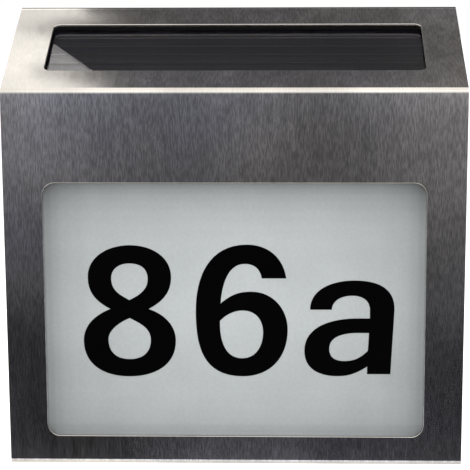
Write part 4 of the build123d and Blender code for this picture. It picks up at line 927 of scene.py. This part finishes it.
# %% Outlines of the numerals
numerals = {
    "numeral_8": [
        [(-41.0, 14.1, -32.4, 14.1, -49.5, 14.1), (-57.7, 1.1, -57.7, 9.5, -57.7, -5.2),
         (-49.0, -11.6, -54.5, -8.7, -55.1, -14.1), (-59.8, -24.7, -59.8, -18.3, -59.8, -34.6),
         (-42.0, -39.2, -51.9, -39.2, -31.8, -39.2), (-23.3, -24.4, -23.3, -34.5, -23.3, -18.0),
         (-33.9, -11.6, -28.0, -13.6, -28.5, -8.7), (-24.9, 1.3, -24.9, -4.9, -24.9, 9.6)],
        [(-41.3, 6.8, -36.8, 6.8, -45.2, 6.8), (-48.5, 0.7, -48.5, 4.7, -48.5, -4.0),
         (-41.5, -8.0, -45.6, -5.7, -37.4, -6.0), (-34.1, 0.7, -34.1, -3.8, -34.1, 4.7)],
        [(-41.4, -15.3, -37.5, -17.4, -45.9, -17.1), (-50.0, -24.0, -50.0, -20.5, -50.0, -29.8),
         (-41.7, -32.1, -46.5, -32.1, -36.2, -32.1), (-33.2, -24.1, -33.2, -29.0, -33.2, -19.3)],
    ],
    "numeral_6": [
        [(20.3, 0.9, 17.1, 0.9, 19.2, 9.2), (5.0, 14.4, 13.2, 14.4, -9.8, 14.4),
         (-15.3, -12.9, -15.3, 1.7, -15.3, -26.8), (3.1, -39.0, -12.7, -39.0, 14.0, -39.0),
         (20.9, -19.9, 20.9, -31.2, 20.9, -11.5), (6.7, -4.5, 15.1, -4.5, 1.5, -4.5),
         (-5.5, -9.3, -1.7, -5.9, -5.0, -2.4), (4.1, 6.7, -2.9, 6.7, 7.6, 6.7),
         (10.7, 0.9, 10.1, 4.9, 13.9, 0.9)],
        [(-5.8, -16.5, -6.7, -17.4, -6.0, -23.5), (2.9, -31.6, -4.3, -31.6, 8.5, -31.6),
         (11.2, -21.0, 11.2, -26.4, 11.2, -16.0), (3.1, -12.1, 8.5, -12.1, -2.8, -12.1)],
    ],
    "letter_a": [
        [(29.7, -11.7, 32.5, -11.7, 29.7, -3.2), (47.1, 0.1, 38.7, 0.1, 55.5, 0.1),
         (62.8, -11.6, 62.8, -2.4, 62.4, -20.4), (61.5, -37.9, 61.9, -29.1, 58.4, -37.9),
         (52.3, -37.9, 55.3, -37.9, 52.3, -36.8), (52.3, -34.8, 52.3, -35.8, 48.4, -37.4),
         (40.6, -38.8, 45.3, -38.8, 33.4, -38.8), (27.5, -28.4, 27.5, -36.0, 27.5, -18.1),
         (48.5, -15.2, 38.9, -15.2, 50.1, -15.2), (53.2, -15.2, 51.6, -15.2, 53.2, -14.1),
         (53.2, -11.9, 53.2, -13.0, 53.2, -7.7), (46.3, -6.0, 49.9, -6.0, 42.6, -6.0),
         (38.2, -11.7, 38.5, -7.5, 35.4, -11.7)],
        [(52.9, -21.1, 52.8, -23.5, 51.4, -21.1), (48.5, -21.1, 49.9, -21.1, 43.2, -21.1),
         (37.3, -27.5, 37.3, -22.4, 37.3, -31.4), (43.3, -32.6, 39.9, -32.6, 47.1, -32.6),
         (52.5, -28.4, 49.7, -31.3, 52.7, -26.0)],
    ],
}
print({name: sum(len(ring) for ring in rings) for name, rings in numerals.items()}, "knots")

# %% [markdown]
# The film is semi-matt. It has the faint orange peel of calendered vinyl and a few specks of
# dust.

# %% Cut the numerals and lay them on the panel
film_half = 0.00004
film_proud = 0.9  # the rest of that half is pressed into the panel, so that no gap shows
panel_face = -0.063739

vinyl = moulded(
    "numeral_vinyl", (0.0004, 0.0004, 0.0004), (0.0012, 0.0012, 0.0012), (0.42, 0.52), pits=1500,
    depth=0.00001, dusty=0.004, Specular_IOR_Level=0.02)


def cut_film(name, rings):
    """One numeral as a filled curve with the film's thickness, lying on the panel's face."""
    outline = bpy.data.curves.new(name, "CURVE")
    outline.dimensions = "2D"
    outline.fill_mode = "BOTH"
    outline.resolution_u = 16
    outline.extrude = film_half
    for ring in rings:
        spline = outline.splines.new("BEZIER")
        spline.bezier_points.add(len(ring) - 1)
        spline.use_cyclic_u = True
        for knot, row in zip(spline.bezier_points, ring):
            x, z, in_x, in_z, out_x, out_z = (value / 1000 for value in row)
            knot.handle_left_type = knot.handle_right_type = "FREE"
            knot.co = (x, z, 0)
            knot.handle_left, knot.handle_right = (in_x, in_z, 0), (out_x, out_z, 0)
    outline.materials.append(vinyl)
    piece = bpy.data.objects.new(name, outline)
    bpy.context.scene.collection.objects.link(piece)
    piece.matrix_world = Matrix((
        (1, 0, 0, 0), (0, 0, -1, panel_face - film_half * film_proud), (0, 1, 0, 0), (0, 0, 0, 1)))
    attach(piece, "sign")
    return piece


for name, rings in numerals.items():
    piece = cut_film(name, rings)
    print(name, "is", round(piece.dimensions.x * 1000, 1), "mm wide")

# %% [markdown]
# ## Colour
# Standard view keeps each colour as it is written.

# %% Set the view
bpy.context.scene.view_settings.view_transform = "Standard"
